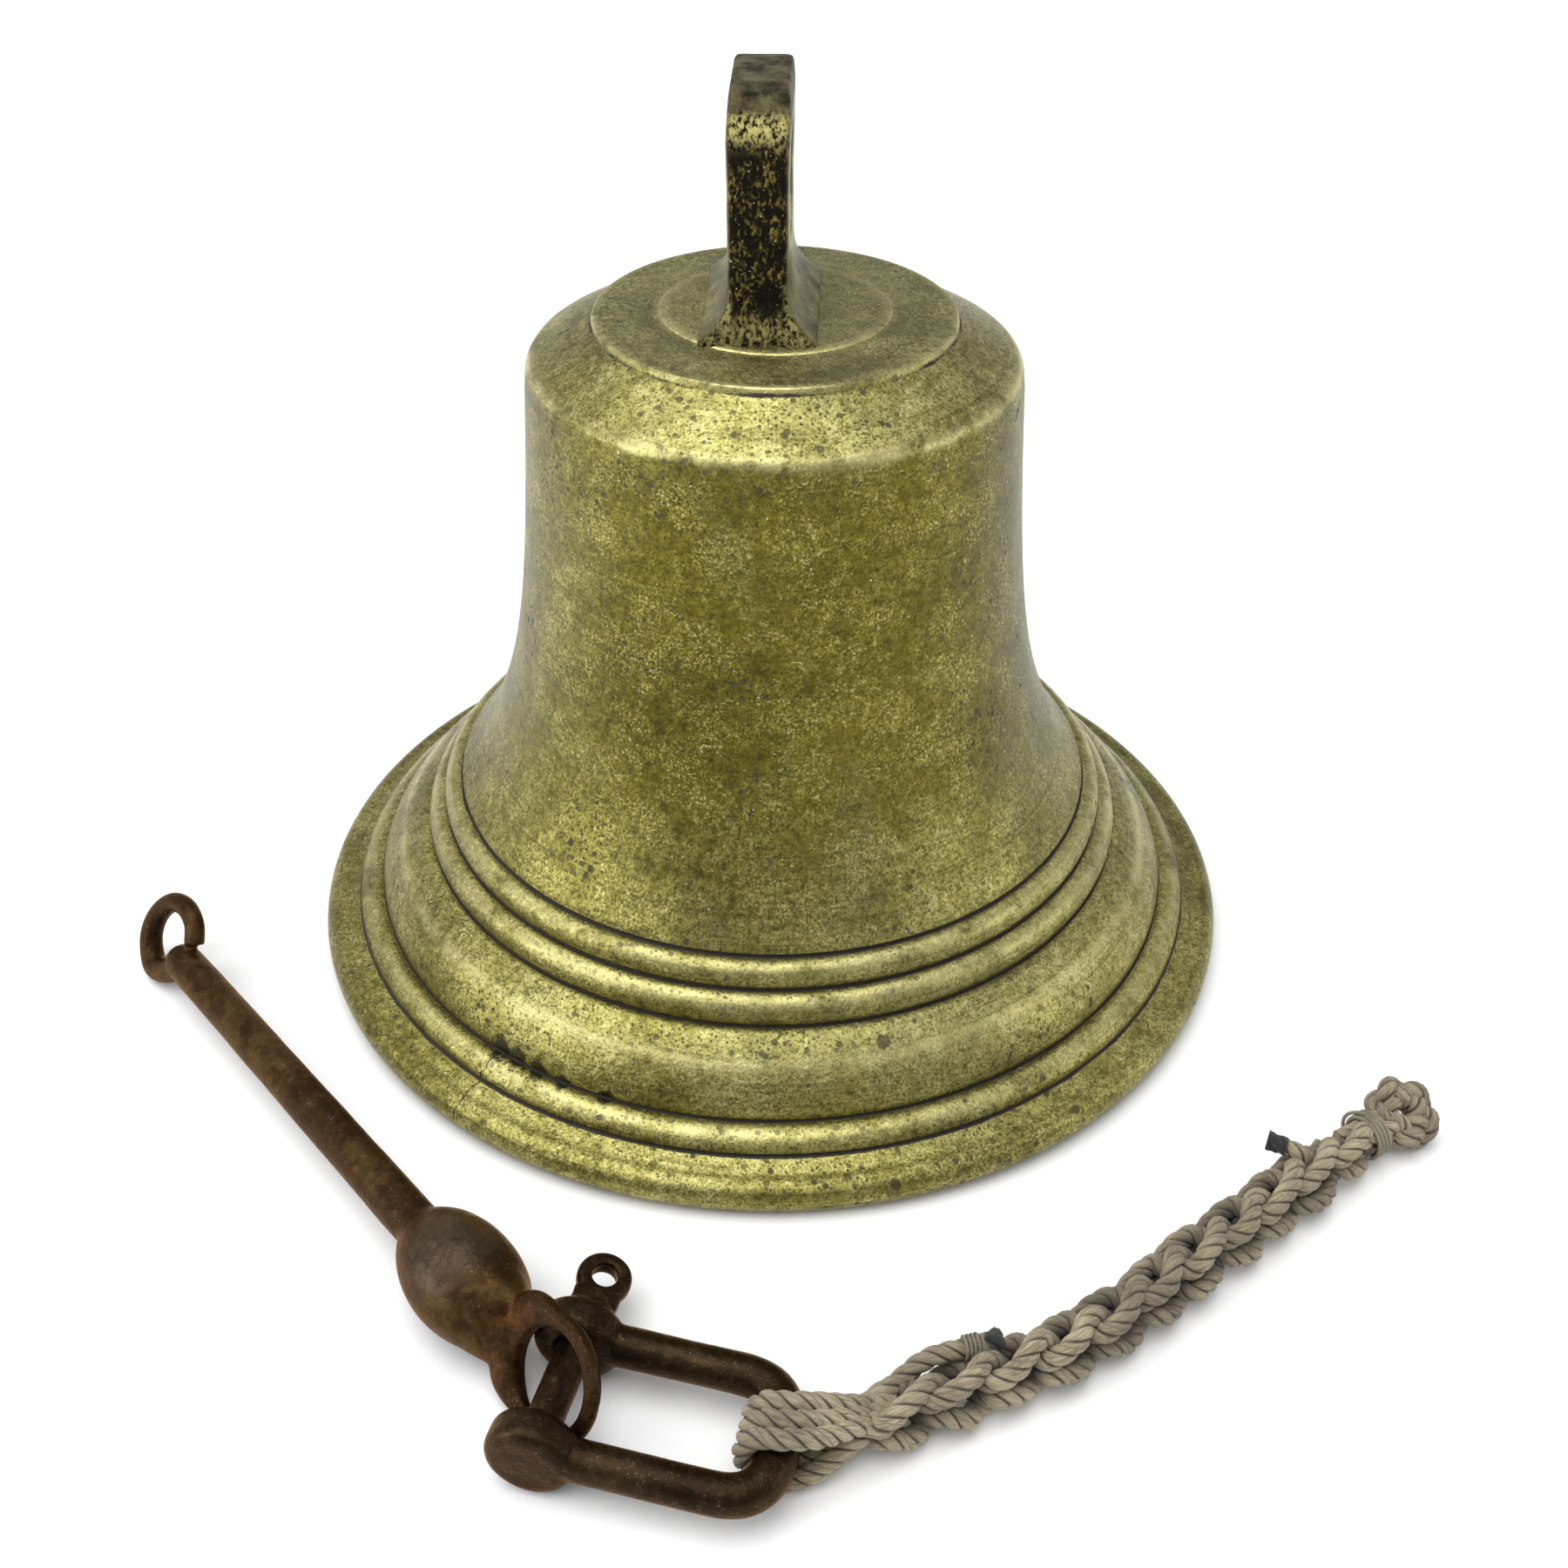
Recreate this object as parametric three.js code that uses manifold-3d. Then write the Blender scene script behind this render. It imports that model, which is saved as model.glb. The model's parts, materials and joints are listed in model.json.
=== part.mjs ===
// Ship bell standing on its lip, with its iron clapper unhooked and laid beside it.
// A D shackle joins the clapper's lower eye to a plaited lanyard. Millimetres, +Z up.
import * as THREE from 'three';
import { mergeVertices } from 'three/addons/utils/BufferGeometryUtils.js';
import Module from 'manifold-3d';

const wasm = await Module();
wasm.setup();

// ---------- driving dimensions ----------

const fitGap = 0.3;               // between pieces that touch
const roundSides = 12;            // sides of a round bar
const latheSides = 40;            // sides of the bell

// bell casting
const mouthRadius = 150;
const crownHeight = 209.5;        // flat top of the crown above the lip
const crownThickness = 11;
const discRadius = 32.7;          // disc left rough round the lug
const discRise = 0.5;
const plateauRadius = 51.6;
const plateauFall = 1.5;          // plateau slopes down this much to its edge
const plateauStep = 1.8;
const shoulderRadius = 71.3;
const shoulderDrop = 12;          // crown top down to the shoulder's corner
const shoulderRound = 5;
const waistWall = 7;
const waistTaper = 6;             // straight widening from shoulder to first groove
const waistFlare = 24.3;          // further widening, curving out towards the groove
const flareLength = 30;
const grooveWidth = 1.4;
const grooveDepth = 1.1;
const mouldings = [               // groove's radius short of the mouth, height, bulge below it
  { inset: 48.4, height: 55.6, bulge: 2.0 },
  { inset: 42.9, height: 47.8, bulge: 2.2 },
  { inset: 37.3, height: 38.9, bulge: 3.2 },
  { inset: 19.6, height: 18.8, bulge: 1.7 },
  { inset: 11.3, height: 13.4, bulge: 0 },
];
const lipRound = 5.5;
const lipFlat = 12;               // width of the flat ring that the bell stands on
const soundbowHeight = 24;        // height at which the inside reaches its thickest wall
const soundbowWall = 15;

// hanging lug, cast in one piece with the crown
const lugThickness = 16.5;
const lugLength = 51;
const lugHeight = 65.5;
const lugCorner = 14;
const lugHoleWidth = 27;
const lugHoleHeight = 33;
const lugHoleBase = 19.5;         // hole's lowest point above the crown
const lugFootFlare = 9;           // how far the foot spreads to each side
const lugFootToe = 2.8;           // how far the foot spreads at each end
const lugSink = 3;                // depth of the lug inside the crown metal
const lugOffset = -3.9;
const lugTurn = -1.4;             // degrees about the bell's axis

// iron staple up inside the crown
const stapleBar = 4;              // radius of its bar
const stapleSpan = 34;
const stapleDrop = 34;
const stapleBend = 12;

// clapper: along its own X from the hook to the eye, Z across in the plane of hook and eye
const ballRadius = 14.9;
const ballHalfLength = 23.5;
const shankLength = 166;          // ball centre to the shank's hook end
const shankHookRadius = 6;
const shankBallRadius = 6.6;
const shankFillet = 34;           // where the shank starts to swell, from the ball's centre
const hookBar = 3.6;
const hookReach = 21;             // hook's bend beyond the shank's end
const hookRise = 15.4;
const hookSag = 9.6;
const hookTipGap = 1.2;
const eyeDistance = 41.2;         // ball centre to the eye's centre
const eyeRadius = 14.8;           // to the middle of its round rim
const eyeBar = 2.15;
const neckHalfWidth = 11;
const neckHalfThickness = 3.2;

// how the clapper lies
const clapperSetback = 33.5;      // ball's centre in front of the lip
const clapperSide = -78.6;
const clapperAzimuth = -49.3;
const clapperDip = 0.9;
const clapperRoll = 28;

// D shackle: X along its legs away from the pin, Y along the pin, head at +Y
const shackleBar = 5.3;
const shackleSpan = 34.2;         // leg centre to leg centre
const shackleLength = 57;         // pin axis to the end bar's axis
const shackleSkew = 2;            // how much longer the blind ear's leg is
const shackleCorner = 14;
const shackleAzimuth = -14.3;
const earRadius = 11.6;
const earRound = 3;
const pinRadius = 4.8;
const pinBlindWall = 2;
const pinCollarRadius = 7.4;
const pinCollarLength = 2.6;
const pinHeadRadius = 7.3;
const pinHeadHole = 3.6;
const pinHeadThickness = 5;
const pinHeadOut = 13.6;          // ear's outer face to the head's centre
const pinTurn = 13;               // degrees that the head's plate is turned up
const pinInEyeAlong = 2.6;        // where the pin crosses the eye, from the eye's centre
const eyeFromMiddle = 2.6;        // eye's place on the pin, from the middle towards the blind ear

// lanyard
const cordRadius = 2.8;
const bightCords = 3;
const bightSpacing = 5;           // between the cords, side by side along the end bar
const bightOffset = 1;            // from the middle of the end bar
const bightLength = 15;           // from the end bar's axis to the braid
const bightShift = 7;             // how far the cords bend aside on the way to the braid
const braidRadius = 8.2;
const lanyardRoute = [            // centreline on the surface, from the bight's spot on the bow
  [19, 6.2], [38, 15], [57, 23], [77, 33.5], [97, 48],
  [119, 66.5], [142, 85], [155, 95.5], [165.5, 103],
];
const endNeckRadius = 6.2;
const whippingLength = 7;
const whippingDepth = 1.7;
const endEyeRadius = 7.5;         // plaited eye at the far end, to the middle of its rim
const endEyeRim = 4.2;
const endEyeTilt = 28;            // degrees that the eye's face is turned down from straight up
const tailRadius = 2.9;
const tails = [                   // cut ends lying on the braid: share of its length, place, length
  { name: 'lanyard_tail_whipped', share: 0.16, aside: 6, length: 14, turn: -8, whipped: true },
  { name: 'lanyard_tail_burnt', share: 0.83, aside: 7, length: 10, turn: 120, whipped: false },
];
const tailWhippingLength = 6;
const tailWhippingDepth = 0.8;

// ---------- materials ----------

const brass = new THREE.MeshStandardMaterial({ color: 0x8f8648, roughness: 0.42, metalness: 0.9 });
const iron = new THREE.MeshStandardMaterial({ color: 0x4a2f1f, roughness: 0.75, metalness: 0.5 });
const rope = new THREE.MeshStandardMaterial({ color: 0x9c8f74, roughness: 0.95, metalness: 0 });
const twineCream = new THREE.MeshStandardMaterial({ color: 0xd2c7a6, roughness: 0.9, metalness: 0 });
const char = new THREE.MeshStandardMaterial({ color: 0x16130f, roughness: 0.8, metalness: 0 });

// ---------- helpers ----------

const degrees = THREE.MathUtils.degToRad;

function solidOf(geometry) {
  const bare = geometry.clone();
  bare.deleteAttribute('normal');
  bare.deleteAttribute('uv');
  const merged = mergeVertices(bare, 1e-4);
  return new wasm.Manifold(new wasm.Mesh({
    numProp: 3,
    vertProperties: new Float32Array(merged.attributes.position.array),
    triVerts: new Uint32Array(merged.index.array),
  }));
}

function geometryOf(solid) {
  const mesh = solid.getMesh();
  const geometry = new THREE.BufferGeometry();
  geometry.setAttribute('position', new THREE.BufferAttribute(mesh.vertProperties, 3));
  geometry.setIndex(new THREE.BufferAttribute(mesh.triVerts, 1));
  geometry.computeVertexNormals();
  return geometry;
}

function piece(name, shape, material) {
  const geometry = shape.isBufferGeometry ? shape : geometryOf(shape);
  const mesh = new THREE.Mesh(geometry, material);
  mesh.name = name;
  return mesh;
}

// Points of an arc round a centre, both ends included.
function arc(centre, radius, fromDegrees, toDegrees, steps) {
  return Array.from({ length: steps + 1 }, (_, i) => {
    const angle = degrees(fromDegrees + (toDegrees - fromDegrees) * i / steps);
    return new THREE.Vector2(centre.x + radius * Math.cos(angle), centre.y + radius * Math.sin(angle));
  });
}

// Points between two ends, bulging to the left of the way from one to the other.
function bulged(from, to, bulge, steps) {
  const way = to.clone().sub(from);
  const left = new THREE.Vector2(-way.y, way.x).normalize();
  return Array.from({ length: steps + 1 }, (_, i) => {
    const t = i / steps;
    return from.clone().addScaledVector(way, t).addScaledVector(left, 4 * bulge * t * (1 - t));
  });
}

// Turned solid about +Z from a profile of (radius, height).
function turned(profile, sides) {
  const geometry = new THREE.LatheGeometry(profile, sides);
  geometry.rotateX(Math.PI / 2);
  return geometry;
}

function roundSection(radius, sides = roundSides) {
  return new THREE.Shape(arc(new THREE.Vector2(0, 0), radius, 0, 360 * (sides - 1) / sides, sides - 1));
}

// Round bar along a curve, with flat ends.
function bar(curve, radius, steps, sides = roundSides) {
  return new THREE.ExtrudeGeometry(roundSection(radius, sides), { steps, extrudePath: curve });
}

// Round bar between two points on a straight line.
function rod(from, to, radius, sides = roundSides) {
  return bar(new THREE.LineCurve3(from, to), radius, 1, sides);
}

// Flat plate from an outline in X and Z, centred on Y.
function plateXZ(shape, thickness, curveSegments = 8) {
  const geometry = new THREE.ExtrudeGeometry(shape, { depth: thickness, bevelEnabled: false, curveSegments });
  geometry.rotateX(Math.PI / 2);
  geometry.translate(0, thickness / 2, 0);
  return geometry;
}

// ---------- bell ----------

const waistTop = crownHeight - shoulderDrop - shoulderRound;
const waistBase = mouldings[0].height;
const grooveRadius = (moulding) => mouthRadius - moulding.inset;

// The waist widens in a straight taper, then flares into the first groove.
function waistRadius(height) {
  const down = (waistTop - height) / (waistTop - waistBase);
  const spread = waistFlare * Math.exp((waistBase - height) / flareLength);
  const reach = waistTaper + waistFlare;
  const wanted = grooveRadius(mouldings[0]) - shoulderRadius;
  return shoulderRadius + (waistTaper * down + spread) * wanted / reach;
}

function outerProfile() {
  const point = (radius, height) => new THREE.Vector2(radius, height);
  const points = [point(0, crownHeight), point(discRadius, crownHeight)];
  points.push(point(discRadius + 0.3, crownHeight - discRise));
  points.push(point(plateauRadius, crownHeight - plateauFall));
  points.push(point(plateauRadius + 0.5, crownHeight - plateauFall - plateauStep));
  const shoulderCentre = point(shoulderRadius - shoulderRound, waistTop);
  points.push(...arc(shoulderCentre, shoulderRound, 62, 0, 3));
  const waistSteps = 12;
  for (let i = 1; i <= waistSteps; i++) {
    const height = THREE.MathUtils.lerp(waistTop, waistBase + grooveWidth / 2, (i / waistSteps) ** 0.8);
    points.push(point(waistRadius(height), height));
  }
  const groovePoints = mouldings.map((moulding) => point(grooveRadius(moulding), moulding.height));
  groovePoints.forEach((groove, i) => {
    points.push(groove.clone().add(point(-grooveDepth, -grooveDepth / 2)));
    if (i === groovePoints.length - 1) return;
    const next = groovePoints[i + 1];
    const way = next.clone().sub(groove).normalize().multiplyScalar(grooveWidth / 2);
    const steps = mouldings[i].bulge > 3 ? 5 : 3;
    points.push(...bulged(groove.clone().add(way), next.clone().sub(way), mouldings[i].bulge, steps));
  });
  const lipCentre = point(mouthRadius - lipRound, lipRound);
  points.push(...arc(lipCentre, lipRound, 100, -60, 5));
  points.push(point(mouthRadius - lipRound, 0));
  return points;
}

function innerProfile() {
  const point = (radius, height) => new THREE.Vector2(radius, height);
  const bowRadius = grooveRadius(mouldings[3]) - soundbowWall;
  const points = [point(mouthRadius - lipRound - lipFlat, 0), point(bowRadius, soundbowHeight)];
  const ceiling = crownHeight - crownThickness;
  const shoulderInside = ceiling - shoulderRound * 2;
  const steps = 7;
  for (let i = 0; i <= steps; i++) {
    const height = THREE.MathUtils.lerp(waistBase + 8, shoulderInside, (i / steps) ** 1.3);
    points.push(point(waistRadius(height) - waistWall, height));
  }
  const corner = shoulderRadius - waistWall - shoulderRound * 2;
  points.push(...arc(point(corner, shoulderInside), shoulderRound * 2, 30, 90, 2));
  points.push(point(0, ceiling));
  return points;
}

function lugSolid() {
  const half = lugLength / 2;
  const outline = new THREE.Shape();
  outline.moveTo(-half - lugFootToe, -lugSink);
  outline.lineTo(half + lugFootToe, -lugSink);
  outline.lineTo(half + lugFootToe, 0);
  outline.lineTo(half, lugFootFlare);
  outline.lineTo(half, lugHeight - lugCorner);
  outline.absarc(half - lugCorner, lugHeight - lugCorner, lugCorner, 0, Math.PI / 2, false);
  outline.absarc(lugCorner - half, lugHeight - lugCorner, lugCorner, Math.PI / 2, Math.PI, false);
  outline.lineTo(-half, lugFootFlare);
  outline.lineTo(-half - lugFootToe, 0);
  const round = lugHoleWidth / 2;
  const hole = new THREE.Path();
  hole.absarc(0, lugHoleBase + lugHoleHeight - round, round, 0, Math.PI, false);
  hole.absarc(0, lugHoleBase + round, round, Math.PI, 2 * Math.PI, false);
  outline.holes.push(hole);
  const lug = plateXZ(outline, lugThickness, 5);
  lug.rotateZ(Math.PI / 2);

  // the foot spreads sideways in a hollow curve
  const side = lugThickness / 2;
  const foot = new THREE.Shape();
  foot.moveTo(-side - lugFootFlare, -lugSink);
  foot.lineTo(side + lugFootFlare, -lugSink);
  foot.lineTo(side + lugFootFlare, 0.6);
  foot.quadraticCurveTo(side + 1, 1.5, side - 0.2, lugFootFlare * 1.3);
  foot.lineTo(0.2 - side, lugFootFlare * 1.3);
  foot.quadraticCurveTo(-side - 1, 1.5, -side - lugFootFlare, 0.6);
  const spread = plateXZ(foot, lugLength + 2 * lugFootToe, 4);
  const whole = solidOf(lug).add(solidOf(spread));
  return whole.translate(0, 0, crownHeight).rotate(0, 0, lugTurn).translate(lugOffset, 0, 0);
}

function bellCasting() {
  const profile = [...outerProfile(), ...innerProfile()];
  const body = solidOf(turned(profile.reverse(), latheSides));
  return body.add(lugSolid());
}

function staple() {
  const ceiling = crownHeight - crownThickness - fitGap;
  const half = stapleSpan / 2;
  const low = ceiling - stapleDrop + stapleBar;
  const path = new THREE.CurvePath();
  const at = (y, z) => new THREE.Vector3(0, y, z);
  path.add(new THREE.LineCurve3(at(-half, ceiling), at(-half, low + stapleBend)));
  path.add(new THREE.QuadraticBezierCurve3(at(-half, low + stapleBend), at(-half, low), at(stapleBend - half, low)));
  path.add(new THREE.LineCurve3(at(stapleBend - half, low), at(half - stapleBend, low)));
  path.add(new THREE.QuadraticBezierCurve3(at(half - stapleBend, low), at(half, low), at(half, low + stapleBend)));
  path.add(new THREE.LineCurve3(at(half, low + stapleBend), at(half, ceiling)));
  return bar(path, stapleBar, 20, 10);
}

// ---------- clapper ----------

function clapperForging() {
  const point = (radius, along) => new THREE.Vector2(radius, along);
  const profile = [point(0, -shankLength - 3), point(shankHookRadius * 0.7, -shankLength - 2)];
  profile.push(point(shankHookRadius, -shankLength + 3));
  profile.push(point(shankBallRadius, -shankFillet));
  const ballSteps = 9;
  for (let i = 1; i < ballSteps; i++) {
    const along = -Math.cos(Math.PI * i / ballSteps) * ballHalfLength;
    const radius = ballRadius * Math.sqrt(1 - (along / ballHalfLength) ** 2);
    profile.push(point(Math.max(radius, shankBallRadius), along));
  }
  profile.push(point(0, ballHalfLength));
  const body = turned(profile, 16);
  body.rotateY(Math.PI / 2);

  const at = (x, z) => new THREE.Vector3(x, 0, z);
  const end = -shankLength;
  const top = shankHookRadius + hookTipGap;
  const hook = new THREE.CatmullRomCurve3([
    at(end + 1, -2.5), at(end - hookReach * 0.35, -hookSag * 0.85), at(end - hookReach * 0.66, -hookSag),
    at(end - hookReach * 0.94, -hookSag * 0.45), at(end - hookReach, 1.5), at(end - hookReach * 0.9, hookRise * 0.5),
    at(end - hookReach * 0.65, hookRise * 0.86), at(end - hookReach * 0.3, hookRise),
    at(end + 0.5, hookRise * 0.86), at(end + 4, top),
  ]);
  const ring = new THREE.TorusGeometry(eyeRadius, eyeBar, 8, 28);
  ring.rotateX(Math.PI / 2);
  ring.translate(eyeDistance, 0, 0);
  // the neck narrows from the ball into the sides of the ring
  const neckEnd = eyeDistance - eyeRadius * Math.sqrt(1 - (neckHalfWidth / eyeRadius) ** 2);
  const neck = new THREE.Shape([
    new THREE.Vector2(0, -neckHalfWidth), new THREE.Vector2(neckEnd, -neckHalfWidth),
    new THREE.Vector2(neckEnd, neckHalfWidth), new THREE.Vector2(0, neckHalfWidth),
  ]);
  const bore = rod(at(eyeDistance, 0).setY(-40), at(eyeDistance, 0).setY(40), eyeRadius, 24);
  return solidOf(body)
    .add(solidOf(plateXZ(neck, 2 * neckHalfThickness)))
    .subtract(solidOf(bore))
    .add(solidOf(bar(hook, hookBar, 30, 10)))
    .add(solidOf(ring));
}

// ---------- shackle ----------

function ear(y) {
  const half = shackleBar;
  const point = (radius, height) => new THREE.Vector2(radius, height);
  const profile = [
    point(0, -half), ...arc(point(earRadius - earRound, earRound - half), earRound, -90, 0, 2),
    ...arc(point(earRadius - earRound, half - earRound), earRound, 0, 90, 2), point(0, half),
  ];
  const disc = turned(profile, 20);
  disc.rotateX(-Math.PI / 2);
  disc.translate(0, y, 0);
  return disc;
}

// The end bar lies a little askew: where it is along the legs, at a place across them.
const endBarX = (y) => shackleLength + shackleSkew * (0.5 - y / shackleSpan);

function shackleBow() {
  const half = shackleSpan / 2;
  const at = (x, y) => new THREE.Vector3(x, y, 0);
  const nearCorner = at(endBarX(-half), -half);
  const farCorner = at(endBarX(half), half);
  const across = farCorner.clone().sub(nearCorner).setLength(shackleCorner);
  const back = at(-shackleCorner, 0);
  const path = new THREE.CurvePath();
  const nearStart = nearCorner.clone().add(back);
  const nearEnd = nearCorner.clone().add(across);
  const farStart = farCorner.clone().sub(across);
  const farEnd = farCorner.clone().add(back);
  path.add(new THREE.LineCurve3(at(0, -half), nearStart));
  path.add(new THREE.QuadraticBezierCurve3(nearStart, nearCorner, nearEnd));
  path.add(new THREE.LineCurve3(nearEnd, farStart));
  path.add(new THREE.QuadraticBezierCurve3(farStart, farCorner, farEnd));
  path.add(new THREE.LineCurve3(farEnd, at(0, half)));
  const bore = rod(
    new THREE.Vector3(0, pinBlindWall - half - shackleBar, 0), new THREE.Vector3(0, half + 40, 0),
    pinRadius + fitGap, 16);
  return solidOf(bar(path, shackleBar, 28))
    .add(solidOf(ear(-half)))
    .add(solidOf(ear(half)))
    .subtract(solidOf(bore));
}

function shacklePin() {
  const half = shackleSpan / 2;
  const face = half + shackleBar + fitGap;
  const tip = pinBlindWall + fitGap - half - shackleBar;
  const at = (y) => new THREE.Vector3(0, y, 0);
  const shaft = rod(at(tip), at(face + pinCollarLength / 2), pinRadius, 16);
  const collar = rod(at(face), at(face + pinCollarLength), pinCollarRadius, 16);
  const headY = half + shackleBar + pinHeadOut;
  const headOutline = new THREE.Shape([
    new THREE.Vector2(-pinHeadRadius * 0.85, face + pinCollarLength / 2 - headY),
    new THREE.Vector2(pinHeadRadius * 0.85, face + pinCollarLength / 2 - headY),
    ...arc(new THREE.Vector2(0, 0), pinHeadRadius, -20, 200, 12),
  ]);
  headOutline.holes.push(new THREE.Path(arc(new THREE.Vector2(0, 0), pinHeadHole, 0, 330, 11)));
  const head = new THREE.ExtrudeGeometry(headOutline, { depth: pinHeadThickness, bevelEnabled: false });
  head.translate(0, headY, -pinHeadThickness / 2);
  head.rotateY(degrees(pinTurn));
  return solidOf(shaft).add(solidOf(collar)).add(solidOf(head));
}

// ---------- assembly ----------

const bellGroup = new THREE.Group();
bellGroup.add(piece('bell', bellCasting(), brass));
bellGroup.add(piece('clapper_staple', staple(), iron));

const clapperGroup = new THREE.Group();
clapperGroup.position.set(clapperSide, -mouthRadius - clapperSetback, ballRadius);
clapperGroup.rotation.set(degrees(-clapperRoll), degrees(-clapperDip), degrees(clapperAzimuth), 'ZYX');
clapperGroup.add(piece('clapper', clapperForging(), iron));
clapperGroup.updateMatrixWorld(true);

// The pin crosses the clapper's eye at its own height, the ears standing on the surface.
const pinDirection = new THREE.Vector3(0, 1, 0).applyAxisAngle(new THREE.Vector3(0, 0, 1), degrees(shackleAzimuth));
const eyeAlong = new THREE.Vector3(eyeDistance + pinInEyeAlong, 0, 0).applyMatrix4(clapperGroup.matrixWorld);
const across = new THREE.Vector3(0, 0, 1).applyQuaternion(clapperGroup.quaternion);
const pinCross = eyeAlong.addScaledVector(across, (earRadius - eyeAlong.z) / across.z);
const shackleGroup = new THREE.Group();
shackleGroup.position.copy(pinCross).addScaledVector(pinDirection, eyeFromMiddle);
shackleGroup.rotation.z = degrees(shackleAzimuth);
shackleGroup.add(piece('shackle_bow', shackleBow(), iron));
shackleGroup.add(piece('shackle_pin', shacklePin(), iron));
shackleGroup.updateMatrixWorld(true);

// ---------- lanyard ----------

const bightSpot = new THREE.Vector3(endBarX(bightOffset), bightOffset, 0).applyMatrix4(shackleGroup.matrixWorld);
const barLean = Math.atan2(shackleSkew, shackleSpan);

// Cords side by side round the end bar, bending aside and closing towards the braid.
function lanyardBight() {
  const round = shackleBar + 1.5 * fitGap + cordRadius;
  const cords = Array.from({ length: bightCords }, (_, i) => {
    const y = (i - (bightCords - 1) / 2) * bightSpacing;
    const side = (sign) => [
      [bightLength, y * 0.75 + bightShift, sign * round * 0.45],
      [bightLength * 0.6, y * 0.9 + bightShift * 0.5, sign * round * 0.75],
      [round * 0.2, y, sign * round],
      [-round * 0.62, y, sign * round * 0.8],
    ];
    const points = [...side(1), [-round, y, 0], ...side(-1).reverse()];
    const path = new THREE.CatmullRomCurve3(points.map(([x, along, z]) => new THREE.Vector3(x, along, z)));
    return solidOf(bar(path, cordRadius, 22, 8));
  });
  return wasm.Manifold.union(cords);
}

// Ring round +X, from its near face at x.
function band(x, length, inner, outer) {
  const at = (place) => new THREE.Vector3(place, 0, 0);
  return solidOf(rod(at(x), at(x + length), outer, 14))
    .subtract(solidOf(rod(at(x - 1), at(x + length + 1), inner, 14)));
}

// The plaited eye and the neck that the whipping holds.
function endEye() {
  const at = (x) => new THREE.Vector3(x, 0, 0);
  const neckLength = whippingLength + 3 * fitGap;
  const neck = rod(at(fitGap), at(fitGap + neckLength + endEyeRim), endNeckRadius, 14);
  const ring = new THREE.TorusGeometry(endEyeRadius, endEyeRim, 8, 18);
  ring.rotateX(degrees(endEyeTilt));
  ring.translate(fitGap + neckLength + endEyeRadius + endEyeRim, 0, 0);
  return solidOf(neck).add(solidOf(ring));
}

const lanyardGroup = new THREE.Group();
lanyardGroup.position.copy(bightSpot);
const bight = piece('lanyard_bight', lanyardBight(), rope);
bight.rotation.z = degrees(shackleAzimuth) + barLean;
const restHeight = braidRadius + fitGap - bightSpot.z;
const route = new THREE.CatmullRomCurve3(lanyardRoute.map(([x, y]) => new THREE.Vector3(x, y, restHeight)));
lanyardGroup.add(bight);
lanyardGroup.add(piece('lanyard_braid', bar(route, braidRadius, 28, 10), rope));

// Turns a solid made along +X into the way of the braid at a share of its length.
function onRoute(mesh, share, aside, rise, turn) {
  const way = route.getTangentAt(share);
  const heading = Math.atan2(way.y, way.x);
  mesh.position.copy(route.getPointAt(share));
  mesh.position.add(new THREE.Vector3(-aside * Math.sin(heading), aside * Math.cos(heading), rise));
  mesh.rotation.z = heading + degrees(turn);
  return mesh;
}

lanyardGroup.add(onRoute(piece('lanyard_end_eye', endEye(), rope), 1, 0, 0, 0));
const endBand = band(2 * fitGap, whippingLength, endNeckRadius + fitGap, endNeckRadius + fitGap + whippingDepth);
lanyardGroup.add(onRoute(piece('lanyard_end_whipping', endBand, twineCream), 1, 0, 0, 0));

for (const tail of tails) {
  const thickest = tailRadius + (tail.whipped ? fitGap + tailWhippingDepth : 0);
  const reach = braidRadius + thickest + 2 * fitGap;
  const rise = Math.sqrt(reach ** 2 - tail.aside ** 2);
  const stub = rod(new THREE.Vector3(0, 0, 0), new THREE.Vector3(tail.length, 0, 0), tailRadius, 10);
  lanyardGroup.add(onRoute(piece(tail.name, stub, tail.whipped ? rope : char), tail.share, tail.aside, rise, tail.turn));
  if (!tail.whipped) continue;
  const bandStart = tail.length * 0.35;
  const ring = band(bandStart, tailWhippingLength, tailRadius + fitGap, thickest);
  lanyardGroup.add(onRoute(piece('lanyard_tail_whipping', ring, twineCream), tail.share, tail.aside, rise, tail.turn));
}

// ---------- frame ----------

const object = new THREE.Group();
object.add(bellGroup, clapperGroup, shackleGroup, lanyardGroup);
object.updateMatrixWorld(true);

// The origin is the middle of the underside of bell, clapper and shackle.
const hardware = new THREE.Box3();
for (const group of [bellGroup, clapperGroup, shackleGroup]) hardware.expandByObject(group, true);
const middle = hardware.getCenter(new THREE.Vector3());
object.position.set(-middle.x, -middle.y, -hardware.min.z);
object.updateMatrixWorld(true);

export default object;
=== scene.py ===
# %% [markdown]
# # A ship bell, its clapper and its lanyard
# The bell stands on its lip. Its iron clapper has been unhooked and lies in front of it, and a screw pin
# shackle joins the clapper's eye to a plaited lanyard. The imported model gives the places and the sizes.
# Everything here is made around it: turned brass, forged iron and laid cord.

# %% Load the frame
import json
import math
import random

import bmesh
import bpy
from mathutils import Euler, Matrix, Vector, noise


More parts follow.
